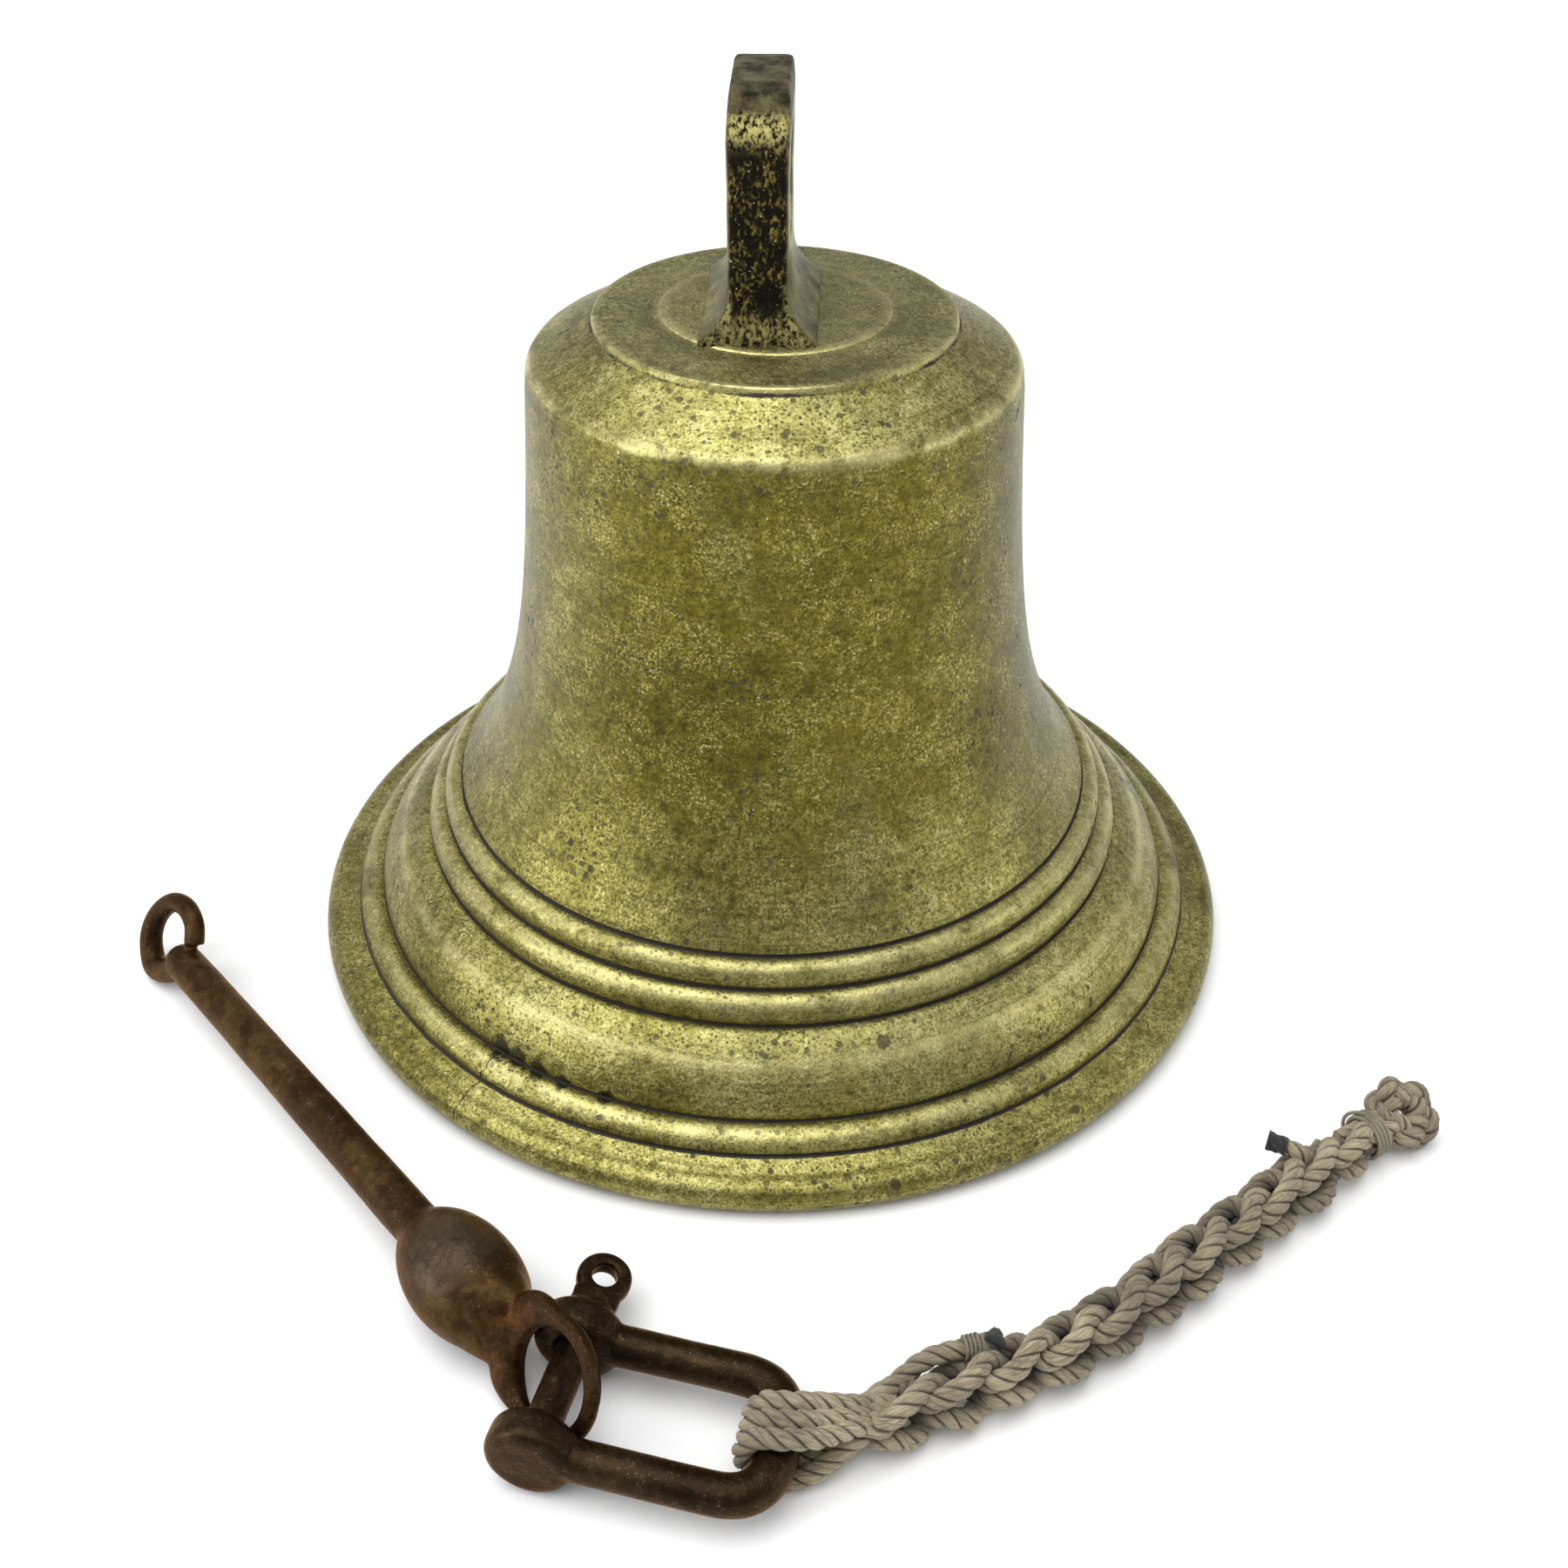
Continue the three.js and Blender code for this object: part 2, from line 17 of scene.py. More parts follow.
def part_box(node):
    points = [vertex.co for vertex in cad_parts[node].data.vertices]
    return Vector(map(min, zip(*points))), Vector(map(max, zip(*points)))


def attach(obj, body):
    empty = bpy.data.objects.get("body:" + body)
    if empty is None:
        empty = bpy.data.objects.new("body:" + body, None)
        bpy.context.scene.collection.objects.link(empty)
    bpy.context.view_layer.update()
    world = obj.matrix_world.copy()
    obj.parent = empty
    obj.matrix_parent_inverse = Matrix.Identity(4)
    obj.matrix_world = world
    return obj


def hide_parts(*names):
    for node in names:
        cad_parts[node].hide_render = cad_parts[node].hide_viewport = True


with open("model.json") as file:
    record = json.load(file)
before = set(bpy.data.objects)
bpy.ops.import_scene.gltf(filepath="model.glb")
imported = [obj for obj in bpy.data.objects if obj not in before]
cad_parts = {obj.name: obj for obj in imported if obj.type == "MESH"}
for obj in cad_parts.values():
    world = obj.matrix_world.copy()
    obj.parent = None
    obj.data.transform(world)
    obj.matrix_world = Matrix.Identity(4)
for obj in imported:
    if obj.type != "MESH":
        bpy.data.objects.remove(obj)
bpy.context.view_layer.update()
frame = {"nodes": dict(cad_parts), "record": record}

MM = 0.001

# %% [markdown]
# ## Where the pieces are
# The bell's axis is the middle of its box. The shackle turns about its pin and the lanyard about the
# shackle's end bar, so the joints give those two places and directions. The clapper lies in front of the
# lip, with its ball touching the surface.

# %% Places of the four groups
low, high = (Vector(corner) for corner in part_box("bell"))
bell_place = Matrix.Translation(((low.x + high.x) / 2, (low.y + high.y) / 2, low.z))
joints = {joint["name"]: joint for joint in frame["record"]["behaviour"]["joints"]}


def place_of_joint(name):
    """X away along the piece, Y along the joint's bar, which its axis points against."""
    joint = joints[name]
    across = -Vector(joint["axis"]).normalized()
    turn = math.atan2(-across.x, across.y)
    return Matrix.Translation(joint["pos_m"]) @ Matrix.Rotation(turn, 4, "Z")


shackle_place = place_of_joint("shackle_swing")
end_bar_place = place_of_joint("lanyard_swing")
clapper_roll, clapper_dip, clapper_heading = (math.radians(d) for d in (-28, -0.9, -49.3))
clapper_turn = Euler((clapper_roll, clapper_dip, clapper_heading), "XYZ").to_matrix().to_4x4()
ball_middle = Vector((-78.6, -183.5, 14.9)) * MM
clapper_place = bell_place @ Matrix.Translation(ball_middle) @ clapper_turn
for title, place in (("bell", bell_place), ("clapper", clapper_place), ("shackle", shackle_place)):
    print(title, "at", [round(v, 4) for v in place.translation])

# %% [markdown]
# ## The camera
# It stands half a metre in front of the bell and looks down at it, like someone leaning over a table, so
# the rings of the bell open into ellipses and the clapper is seen from above.

# %% Camera
camera_data = bpy.data.cameras.new("camera")
camera_data.lens = 43.33
camera_data.sensor_width = 36
camera_data.shift_x = -0.0024
camera_data.shift_y = -0.0152
camera = bpy.data.objects.new("camera", camera_data)
bpy.context.scene.collection.objects.link(camera)
camera.location = bell_place @ Vector((0.00504, -0.50619, 0.41662))
look_down, camera_roll = math.radians(35.775), math.radians(0.689)
look = Matrix.Rotation(math.pi / 2 - look_down, 3, "X") @ Matrix.Rotation(camera_roll, 3, "Z")
camera.rotation_euler = look.to_euler()
bpy.context.scene.camera = camera
print("camera at", [round(v, 3) for v in camera.location])

# %% [markdown]
# ## Making pieces in trees
# A rope, a winding of twine and a turned body all follow a rule, so a node tree makes each. The tree takes
# a line, and named sizes that can be changed. The finished mesh is taken out of the tree as a plain one.


# %% Helpers for pieces and trees
def put(name, mesh):
    """An object at the origin that holds a mesh whose points are already in place."""
    piece = bpy.data.objects.new(name, mesh)
    bpy.context.scene.collection.objects.link(piece)
    return piece


def new_tree(name, sizes):
    tree = bpy.data.node_groups.new(name, "GeometryNodeTree")
    tree.interface.new_socket("Geometry", in_out="INPUT", socket_type="NodeSocketGeometry")
    keys = {}
    for label, kind in sizes.items():
        socket = tree.interface.new_socket(label, in_out="INPUT", socket_type="NodeSocket" + kind)
        keys[label] = socket.identifier
    tree.interface.new_socket("Geometry", in_out="OUTPUT", socket_type="NodeSocketGeometry")
    return tree, keys


def add_node(tree, kind, inputs=(), **settings):
    """A node with its settings, whose inputs are numbers or the outputs of other nodes."""
    node = tree.nodes.new(kind)
    for key, value in settings.items():
        setattr(node, key, value)
    for key, value in dict(inputs).items():
        if isinstance(value, bpy.types.NodeSocket):
            tree.links.new(value, node.inputs[key])
        else:
            node.inputs[key].default_value = value
    return node


def store(tree, geometry, name, value):
    """Writes a number on the geometry under a name, for a finish to read."""
    inputs = {"Geometry": geometry, "Name": name, "Value": value}
    return add_node(tree, "GeometryNodeStoreNamedAttribute", inputs).outputs[0]


def sweep(tree, line, section):
    inputs = {"Curve": line, "Profile Curve": section, "Fill Caps": True}
    return add_node(tree, "GeometryNodeCurveToMesh", inputs).outputs[0]


def end_tree(tree, geometry, finish):
    smooth = add_node(tree, "GeometryNodeSetShadeSmooth", {"Geometry": geometry})
    real = add_node(tree, "GeometryNodeRealizeInstances", {"Geometry": smooth.outputs[0]})
    coated = add_node(tree, "GeometryNodeSetMaterial", {"Geometry": real.outputs[0], "Material": finish})
    add_node(tree, "NodeGroupOutput", {"Geometry": coated.outputs[0]})


def plain_mesh(holder):
    """The mesh that an object's modifiers make; the holder itself is thrown away."""
    graph = bpy.context.evaluated_depsgraph_get()
    mesh = bpy.data.meshes.new_from_object(holder.evaluated_get(graph), depsgraph=graph)
    bpy.data.objects.remove(holder)
    return mesh


def grow(name, maker, line, place=Matrix(), **sizes):
    """Runs a tree on a line and leaves a plain piece, moved to its place."""
    tree, keys = maker
    modifier = line.modifiers.new(name, "NODES")
    modifier.node_group = tree
    for label, value in sizes.items():
        modifier[keys[label.replace("_", " ")]] = value
    mesh = plain_mesh(line)
    mesh.transform(place)
    return put(name, mesh)


def line_through(name, points, closed=False):
    curve = bpy.data.curves.new(name, "CURVE")
    curve.dimensions = "3D"
    spline = curve.splines.new("POLY")
    spline.points.add(len(points) - 1)
    for knot, point in zip(spline.points, points):
        knot.co = (*point, 1)
    spline.use_cyclic_u = closed
    return put(name, curve)


def flowing(points, closed=False, steps=12):
    """Points close together on a smooth curve through the given ones."""
    points = [Vector(p) for p in points]
    count = len(points)
    spans = count if closed else count - 1
    flow = []
    for i in range(spans):
        if closed:
            a, b, c, d = (points[(i + k) % count] for k in (-1, 0, 1, 2))
        else:
            b, c = points[i], points[i + 1]
            a = points[i - 1] if i else 2 * b - c
            d = points[i + 2] if i + 2 < count else 2 * c - b
        for k in range(steps):
            t = k / steps
            flow.append(0.5 * (2 * b + (c - a) * t + (2 * a - 5 * b + 4 * c - d) * t * t
                               + (3 * b - a - 3 * c + d) * t ** 3))
    if not closed:
        flow.append(points[-1])
    return flow


def angles(count):
    """That many angles, evenly all the way round."""
    return [math.tau * k / count for k in range(count)]


def length_of(points):
    return sum((q - p).length for p, q in zip(points, points[1:]))


# %% [markdown]
# ## Finishes
# A finish is built from a few fields of noise. Each field stands for one thing that happened to the
# surface: casting, turning, wear or dirt. A small class keeps the wiring short enough to read.


# %% A finish under construction
class Finish:
    def __init__(self, name):
        self.material = bpy.data.materials.new(name)
        self.material.use_nodes = True
        self.tree = self.material.node_tree
        self.shader = self.tree.nodes["Principled BSDF"]
        self.place = self.add("ShaderNodeTexCoord").outputs["Object"]

    def add(self, kind, inputs=(), **settings):
        return add_node(self.tree, kind, inputs, **settings)

    def math(self, operation, a, b=0.0, clamp=False):
        node = self.add("ShaderNodeMath", {0: a, 1: b}, operation=operation, use_clamp=clamp)
        return node.outputs[0]

    def plus(self, a, b, clamp=False):
        return self.math("ADD", a, b, clamp)

    def minus(self, a, b, clamp=False):
        return self.math("SUBTRACT", a, b, clamp)

    def times(self, a, b, clamp=False):
        return self.math("MULTIPLY", a, b, clamp)

    def greater(self, a, b):
        return self.math("MAXIMUM", a, b)

    def vector(self, operation, a, b, output=0):
        return self.add("ShaderNodeVectorMath", {0: a, 1: b}, operation=operation).outputs[output]

    def cells(self, scale):
        """Distance to the nearest of points scattered about evenly."""
        node = self.add("ShaderNodeTexVoronoi", {"Vector": self.place, "Scale": scale, "Randomness": 1.0})
        return node.outputs["Distance"]

    def noise(self, scale, detail=4.0, rough=0.55, where=None, warp=0.0):
        inputs = {"Vector": where or self.place, "Scale": scale, "Detail": detail, "Roughness": rough,
                  "Distortion": warp}
        return self.add("ShaderNodeTexNoise", inputs).outputs["Fac"]

    def stretched(self, scale, where=None):
        return self.add("ShaderNodeMapping", {"Vector": where or self.place, "Scale": scale}).outputs[0]

    def band(self, value, low, high):
        """0 below low and 1 above high, smoothly; turned round when low is the greater."""
        node = self.add("ShaderNodeMapRange", {"Value": value, "From Min": low, "From Max": high},
                        interpolation_type="SMOOTHSTEP")
        return node.outputs[0]

    def painted(self, name):
        return self.add("ShaderNodeAttribute", attribute_name=name).outputs["Fac"]

    def colours(self, value, *stops):
        ramp = self.add("ShaderNodeValToRGB", {0: value})
        marks = ramp.color_ramp.elements
        while len(marks) < len(stops):
            marks.new(0.5)
        for mark, (position, colour) in zip(marks, stops):
            mark.position = position
            mark.color = (*colour, 1)
        return ramp.outputs[0]

    def over(self, share, below, above, blend="MIX"):
        node = self.add("ShaderNodeMix", data_type="RGBA", blend_type=blend)
        for socket, value in ((node.inputs[0], share), (node.inputs[6], below), (node.inputs[7], above)):
            if isinstance(value, bpy.types.NodeSocket):
                self.tree.links.new(value, socket)
            else:
                socket.default_value = (*value, 1) if isinstance(value, tuple) else value
        return node.outputs[2]

    def bumps(self, *layers):
        """Each layer is a height field, its depth in metres and its strength."""
        normal = None
        for height, depth, strength in layers:
            inputs = {"Height": height, "Distance": depth, "Strength": strength}
            if normal:
                inputs["Normal"] = normal
            normal = self.add("ShaderNodeBump", inputs).outputs[0]
        return normal

    def done(self, **inputs):
        for key, value in inputs.items():
            socket = self.shader.inputs[key.replace("_", " ")]
            if isinstance(value, bpy.types.NodeSocket):
                self.tree.links.new(value, socket)
            else:
                socket.default_value = value
        return self.material


# %% [markdown]
# ### Cord and twine
# The cord is laid: three strands twisted together, each of many fibres that end up lying almost along the
# cord. The hollows between the strands are darkened with painted shade. The tree that sweeps the cord
# writes how far along and how far round each point is, so the fibres can follow every bend. Two cut ends
# were sealed in a flame, and there the cord is black.


# %% Cord, twine and burnt finishes
cord_lay = 13.5 * MM
twine_lay = 4 * MM


def cord_finish(name, pale, brown, dirt, lay=cord_lay):
    cord = Finish(name)
    along, around = cord.painted("along"), cord.painted("around")
    turned = cord.times(cord.plus(around, cord.math("DIVIDE", along, lay * 1.5)), math.tau)
    fibre_place = cord.add("ShaderNodeCombineXYZ", {
        0: cord.times(cord.math("COSINE", turned), 7.0),
        1: cord.times(cord.math("SINE", turned), 7.0),
        2: cord.times(along, 160.0)}).outputs[0]
    fibres = cord.noise(1.6, 5, 0.7, where=fibre_place)
    fuzz = cord.noise(2600, 2, 0.6)
    soil = cord.noise(75, 5, 0.65)
    stain = cord.noise(18, 2, 0.5)
    colour = cord.colours(cord.plus(cord.times(fibres, 0.66), cord.times(soil, 0.34)),
                          (0.38, dirt), (0.47, brown), (0.57, pale))
    colour = cord.over(cord.times(cord.band(stain, 0.48, 0.7), 0.6), colour, (0.12, 0.09, 0.055))
    # Painted shade: the hollows between the strands, where the section is thinnest, and the chain's inside
    # are darkened.
    hollow = cord.band(cord.painted("swell"), 0.92, 0.68)
    painted_shade = cord.greater(cord.times(hollow, 0.85), cord.painted("painted_shade"))
    colour = cord.over(painted_shade, colour, tuple(0.35 * v for v in dirt))
    burnt = cord.band(cord.plus(cord.painted("burnt"), cord.times(cord.noise(420), 0.3)), 0.5, 0.75)
    colour = cord.over(burnt, colour, (0.008, 0.007, 0.006))
    normal = cord.bumps((fibres, 0.0009, 0.85), (fuzz, 0.00015, 0.5))
    rough = cord.minus(0.92, cord.times(burnt, 0.4))
    return cord.done(Base_Color=colour, Roughness=rough, Normal=normal, Sheen_Weight=0.25,
                     Sheen_Roughness=0.6, Specular_IOR_Level=0.25)


cord_beige = cord_finish("cord_beige", (0.60, 0.52, 0.325), (0.36, 0.295, 0.17), (0.11, 0.082, 0.042))
cord_dark = cord_finish("cord_handled", (0.46, 0.385, 0.235), (0.26, 0.205, 0.12), (0.08, 0.06, 0.032))
twine_cream = cord_finish("twine_cream", (0.72, 0.65, 0.47), (0.52, 0.45, 0.30), (0.2, 0.16, 0.10), twine_lay)

# %% [markdown]
# ## The lanyard
# The lanyard is a chain of loops in laid cord, each drawn through the one before, as in crochet. It could
# be a twisted tube with a painted pattern, but then the dark gaps between the loops would be missing. So
# one long line is led through every loop, and a three-lobed section is swept along it, turning as it goes.


# %% The section and the tree of a laid cord
def lobed(angle, lobes=3, depth=0.36):
    """Radius of a cord of round strands, for a cord one across, and least in the hollows."""
    reach = math.pi / lobes
    off = (angle + reach) % (2 * reach) - reach
    return 1 - depth * (1 - math.sqrt(max(0.0, 1 - (off / reach) ** 2)))


lobes_round = [(lobed(a) * math.cos(a), lobed(a) * math.sin(a), 0) for a in angles(24)]
section = line_through("cord_section", lobes_round, closed=True)

tree, keys = new_tree("laid_cord", {"Section": "Object", "Thickness": "Float", "Lay": "Float",
                                    "Step": "Float", "Finish": "Material"})
given = add_node(tree, "NodeGroupInput").outputs
evened = add_node(tree, "GeometryNodeResampleCurve", {"Curve": given["Geometry"], "Length": given["Step"]},
                  mode="LENGTH")
run = add_node(tree, "GeometryNodeSplineParameter").outputs
turns = add_node(tree, "ShaderNodeMath", {0: run["Length"], 1: given["Lay"]}, operation="DIVIDE")
twist = add_node(tree, "ShaderNodeMath", {0: turns.outputs[0], 1: math.tau}, operation="MULTIPLY")
steady = add_node(tree, "GeometryNodeSetCurveNormal", {"Curve": evened.outputs[0]}, mode="MINIMUM_TWIST")
tilted = add_node(tree, "GeometryNodeSetCurveTilt", {"Curve": steady.outputs[0], "Tilt": twist.outputs[0]})
marked = store(tree, tilted.outputs[0], "along", run["Length"])
shape = add_node(tree, "GeometryNodeObjectInfo", {"Object": given["Section"]})
place_in = add_node(tree, "GeometryNodeInputPosition").outputs[0]
swell = add_node(tree, "ShaderNodeVectorMath", {0: place_in}, operation="LENGTH").outputs["Value"]
rounded = store(tree, shape.outputs["Geometry"], "around", run["Factor"])
swollen = store(tree, rounded, "swell", swell)
half = add_node(tree, "ShaderNodeMath", {0: given["Thickness"], 1: 0.5}, operation="MULTIPLY").outputs[0]
scale = add_node(tree, "ShaderNodeCombineXYZ", {0: half, 1: half, 2: half})
sized = add_node(tree, "GeometryNodeTransform", {"Geometry": swollen, "Scale": scale.outputs[0]})
end_tree(tree, sweep(tree, marked, sized.outputs[0]), given["Finish"])
laid_cord = (tree, keys)


def cord_along(name, points, thickness, finish, closed=False, place=Matrix()):
    lay = cord_lay
    if closed:
        thirds = max(1, round(3 * length_of(points) / lay))
        lay = 3 * length_of(points) / thirds
    line = line_through(name, points, closed)
    return grow(name, laid_cord, line, place, Section=section, Thickness=thickness, Lay=lay,
                Step=thickness * 0.17, Finish=finish)


# %% [markdown]
# The chain's line repeats once for each loop. In one loop the cord comes up through the last loop, runs
# forward on the outside, rounds the next crossing and comes back beside itself, and then passes behind to
# the next. It is given in cord thicknesses, along the lanyard, up and out towards the front.

# %% The route, the loops and the chain
route_marks = [(19, 6.2), (38, 15), (57, 23), (77, 33.5), (97, 48), (119, 66.5), (142, 85), (155, 95.5),
               (165.5, 103)]
braid_radius = 8.2 * MM
spot = Vector(joints["lanyard_swing"]["pos_m"])
rest_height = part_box("lanyard_braid")[0][2] + braid_radius
route = flowing([(spot.x + x * MM, spot.y + y * MM, rest_height) for x, y in route_marks])
route_length = length_of(route)
print("lanyard route", round(route_length, 4), "m")

chain_cord = 5.9 * MM
loop_marks = [(-0.1, 0.6, -0.9), (0.1, 0.55, 0), (0.6, 0.65, 0.75), (1.6, 1.05, 0.8), (2.4, 1.35, 0.35),
              (3.1, 1.1, -0.1), (3.6, 0, -0.15), (3.1, -1.1, -0.1), (2.4, -1.35, 0.35), (1.6, -1.05, 0.8),
              (0.6, -0.65, 0.75), (0.1, -0.55, 0), (0, -0.6, -0.9), (1.2, 0, -1.25)]
drawn_pitch = 2.4


def on_route(travel):
    """Point and direction on the route, carried on straight past its ends."""
    left = travel
    for p, q in zip(route, route[1:]):
        step = (q - p).length
        if left <= step or q is route[-1]:
            return p + (q - p) * (left / step), (q - p).normalized()
        left -= step
    return route[-1], (route[-1] - route[-2]).normalized()


def chain_line(loops, lean):
    """The chain's whole line, a little uneven, and slimmer where it ends in the far eye's neck."""
    dice = random.Random(5)
    unevenness = 0.13
    slim_from, slim_over, slimmer_by = 0.85, 0.15, 0.3
    pitch = route_length / loops
    points = []
    for loop in range(loops):
        for along, up, out in loop_marks:
            if loop == loops - 1 and along > 2.6:
                continue
            travel = loop + along / drawn_pitch
            spot_on, ahead = on_route(travel * pitch)
            front = Vector((ahead.y, -ahead.x, 0))
            height = front.cross(ahead)
            leaned = front * math.cos(lean) + height * math.sin(lean)
            raised = height * math.cos(lean) - front * math.sin(lean)
            jitter = Vector([dice.uniform(-unevenness, unevenness) for _ in range(3)])
            offset = raised * (up * 0.77 + jitter.y) + leaned * (out * 0.95 + 0.2 + jitter.z)
            slim = 1 - slimmer_by * max(0.0, travel / loops - slim_from) / slim_over
            points.append(spot_on + ahead * (jitter.x * chain_cord) + offset * chain_cord * slim)
    return flowing(points, steps=8)


chain_path = chain_line(loops=11, lean=math.radians(12))
chain = cord_along("lanyard_chain", chain_path, chain_cord, cord_beige)
lift = max(0.0, 0.0003 - min(v.co.z for v in chain.data.vertices))
chain.data.transform(Matrix.Translation((0, 0, lift)))


def shade_inside(piece, middle, full, none):
    """Paints shade on a rope's inside, darker nearer its middle line."""
    mark = piece.data.attributes.new("painted_shade", "FLOAT", "POINT")
    for vertex, value in zip(piece.data.vertices, mark.data):
        off = min((vertex.co - point).length for point in middle)
        value.value = max(0.0, min(0.9, (none - off) / (none - full)))


shade_inside(chain, route[::3], full=3.8 * MM, none=8.2 * MM)
print("cord in the chain", round(length_of(chain_path), 3), "m,", len(chain.data.polygons), "faces, lifted",
      round(lift, 5))

# %% [markdown]
# The chain starts from turns of the same cord round the shackle's end bar, and ends in a small plaited eye.
# The eye is a Turk's head: one line that goes three times round while it weaves in and out five times.

# %% Turns round the shackle and the plaited eye
turn_cord = 5.6 * MM
bar_radius = 5.3 * MM
hug = bar_radius + 0.45 * MM + turn_cord / 2


def turn_path(y):
    side = [[(26 * MM, y * 0.3 + 14 * MM, 0),
             (21 * MM, y * 0.45 + 11.5 * MM, over * 0.15),
             (15 * MM, y * 0.7 + 7 * MM, over * 0.45),
             (9 * MM, y * 0.95 + 2.8 * MM, over * 0.8),
             (hug * 0.2, y, over),
             (-hug * 0.62, y, over * 0.8)] for over in (hug, -hug)]
    return flowing([*side[0], (-hug, y, 0), *reversed(side[1])])


turns_round = [cord_along(f"lanyard_turn_{i + 1}", turn_path((i - 1) * 5.3 * MM), turn_cord, cord_beige,
                          place=end_bar_place) for i in range(3)]

end_point, end_way = on_route(route_length)
end_place = Matrix.Translation(end_point) @ Matrix.Rotation(math.atan2(end_way.y, end_way.x), 4, "Z")
eye_middle = Vector((8.2 + 7.5 + 4.2 + 0.3, 0, 0)) * MM
eye_tilt = Matrix.Rotation(math.radians(28), 4, "X")


def plaited_eye():
    reach, weave, rise = 6.4 * MM, 2.3 * MM, 2.2 * MM
    line = []
    steps = 300
    for i in range(steps):
        turn = 6 * math.pi * i / steps
        across = reach + weave * math.cos(5 * turn / 3)
        height = rise * math.sin(10 * turn / 3)
        line.append(Vector((across * math.cos(turn), across * math.sin(turn), height)))
    return line


far_eye = cord_along("lanyard_far_eye", plaited_eye(), 5.6 * MM, cord_dark, closed=True,
                     place=end_place @ Matrix.Translation(eye_middle) @ eye_tilt)
neck_cords = []
for i in range(4):
    angle = math.tau * (i + 0.5) / 4
    y, z = 3.2 * MM * math.cos(angle), 3.2 * MM * math.sin(angle)
    neck_line = flowing([(-5 * MM, y * 1.25, z), (0, y, z), (5 * MM, y * 0.95, z * 0.95),
                         (12.5 * MM, y * 1.2, z)])
    neck_cords.append(cord_along(f"lanyard_neck_{i + 1}", neck_line, 5 * MM, cord_beige, place=end_place))
print("plaited eye", len(far_eye.data.polygons), "faces")

# %% [markdown]
# ### Whippings
# A whipping is twine wound tightly round a rope. A spiral line with a round section makes one layer, and a
# tree with the number of turns as an input makes both whippings.

# %% The tree of a whipping, and two whippings
tree, keys = new_tree("whipping", {"Turns": "Float", "Inside": "Float", "Length": "Float", "Twine": "Float",
                                   "Finish": "Material"})
given = add_node(tree, "NodeGroupInput").outputs
spiral = add_node(tree, "GeometryNodeCurveSpiral", {
    "Resolution": 40, "Rotations": given["Turns"], "Height": given["Length"],
    "Start Radius": given["Inside"], "End Radius": given["Inside"]})
run = add_node(tree, "GeometryNodeSplineParameter").outputs
marked = store(tree, spiral.outputs[0], "along", run["Length"])
ring = add_node(tree, "GeometryNodeCurvePrimitiveCircle", {"Resolution": 8, "Radius": given["Twine"]})
rounded = store(tree, ring.outputs[0], "around", run["Factor"])
end_tree(tree, sweep(tree, marked, rounded), given["Finish"])
whipping = (tree, keys)
quarter_turn = Matrix.Rotation(math.pi / 2, 4, "Y")


def whip(name, place, start, length, inside, twine, turns_wound):
    way = place @ Matrix.Translation((start, 0, 0)) @ quarter_turn
    holder = put(name, bpy.data.meshes.new(name))
    piece = grow(name, whipping, holder, way, Turns=turns_wound, Inside=inside, Length=length, Twine=twine,
                 Finish=twine_cream)
    # The twine's middling swell gives it about half the painted shade of the cord's hollows.
    swell_mark = piece.data.attributes.new("swell", "FLOAT", "POINT")
    for value in swell_mark.data:
        value.value = 0.8
    return piece


end_whip = whip("lanyard_end_winding", end_place, start=2.6 * MM, length=5.6 * MM, inside=6.3 * MM,
                twine=0.6 * MM, turns_wound=4)
crossing = end_place @ Matrix.Rotation(math.radians(14), 4, "Z")
end_whip_top = whip("lanyard_end_winding_top", crossing, start=4.6 * MM, length=1.8 * MM, inside=6.8 * MM,
                    twine=0.55 * MM, turns_wound=1.5)

# %% [markdown]
# ### The cut ends
# Two ends of cord stand out from the chain. One is whipped and then burnt, and the other is only burnt.
# The black is a number painted on the last few millimetres, and the tip there swells where it melted.


# %% Cut ends
def cut_end(name, share, aside, rise, start, length, turn, burnt_length):
    here, way = on_route(share * route_length)
    heading = math.atan2(way.y, way.x)
    here = here + Vector((-math.sin(heading), math.cos(heading), 0)) * aside + Vector((0, 0, rise))
    place = Matrix.Translation(here) @ Matrix.Rotation(heading + math.radians(turn), 4, "Z")
    line = flowing([(-start, -5 * MM, -8 * MM), (-start * 0.6, -2 * MM, -4.5 * MM),
                    (-start * 0.25, 0, -1 * MM), (length * 0.4, 0, 0), (length, 0, 0.2 * MM)])
    piece = cord_along(name, line, 5.4 * MM, cord_beige, place=place)
    tip = place @ Vector((length, 0, 0))
    mark = piece.data.attributes.new("burnt", "FLOAT", "POINT")
    for vertex, value in zip(piece.data.vertices, mark.data):
        near = max(0.0, 1 - (vertex.co - tip).length / burnt_length)
        value.value = min(1.0, near * 1.7)
        lump = noise.noise(vertex.co * 500) * 1.1 * MM * min(1.0, near * 2)
        vertex.co += (vertex.co - tip).normalized() * lump
    return piece, place


tail_whipped, tail_place = cut_end("lanyard_whipped_end", share=0.16, aside=6 * MM, rise=7.6 * MM,
                                   start=24 * MM, length=14 * MM, turn=-6, burnt_length=7.5 * MM)
tail_whip = whip("lanyard_tail_winding", tail_place, start=3.4 * MM, length=5 * MM, inside=2.85 * MM,
                 twine=0.45 * MM, turns_wound=4.5)
tail_burnt, _ = cut_end("lanyard_burnt_end", share=0.87, aside=6 * MM, rise=7.5 * MM,
                        start=8 * MM, length=6.5 * MM, turn=118, burnt_length=9 * MM)
bpy.data.objects.remove(section)

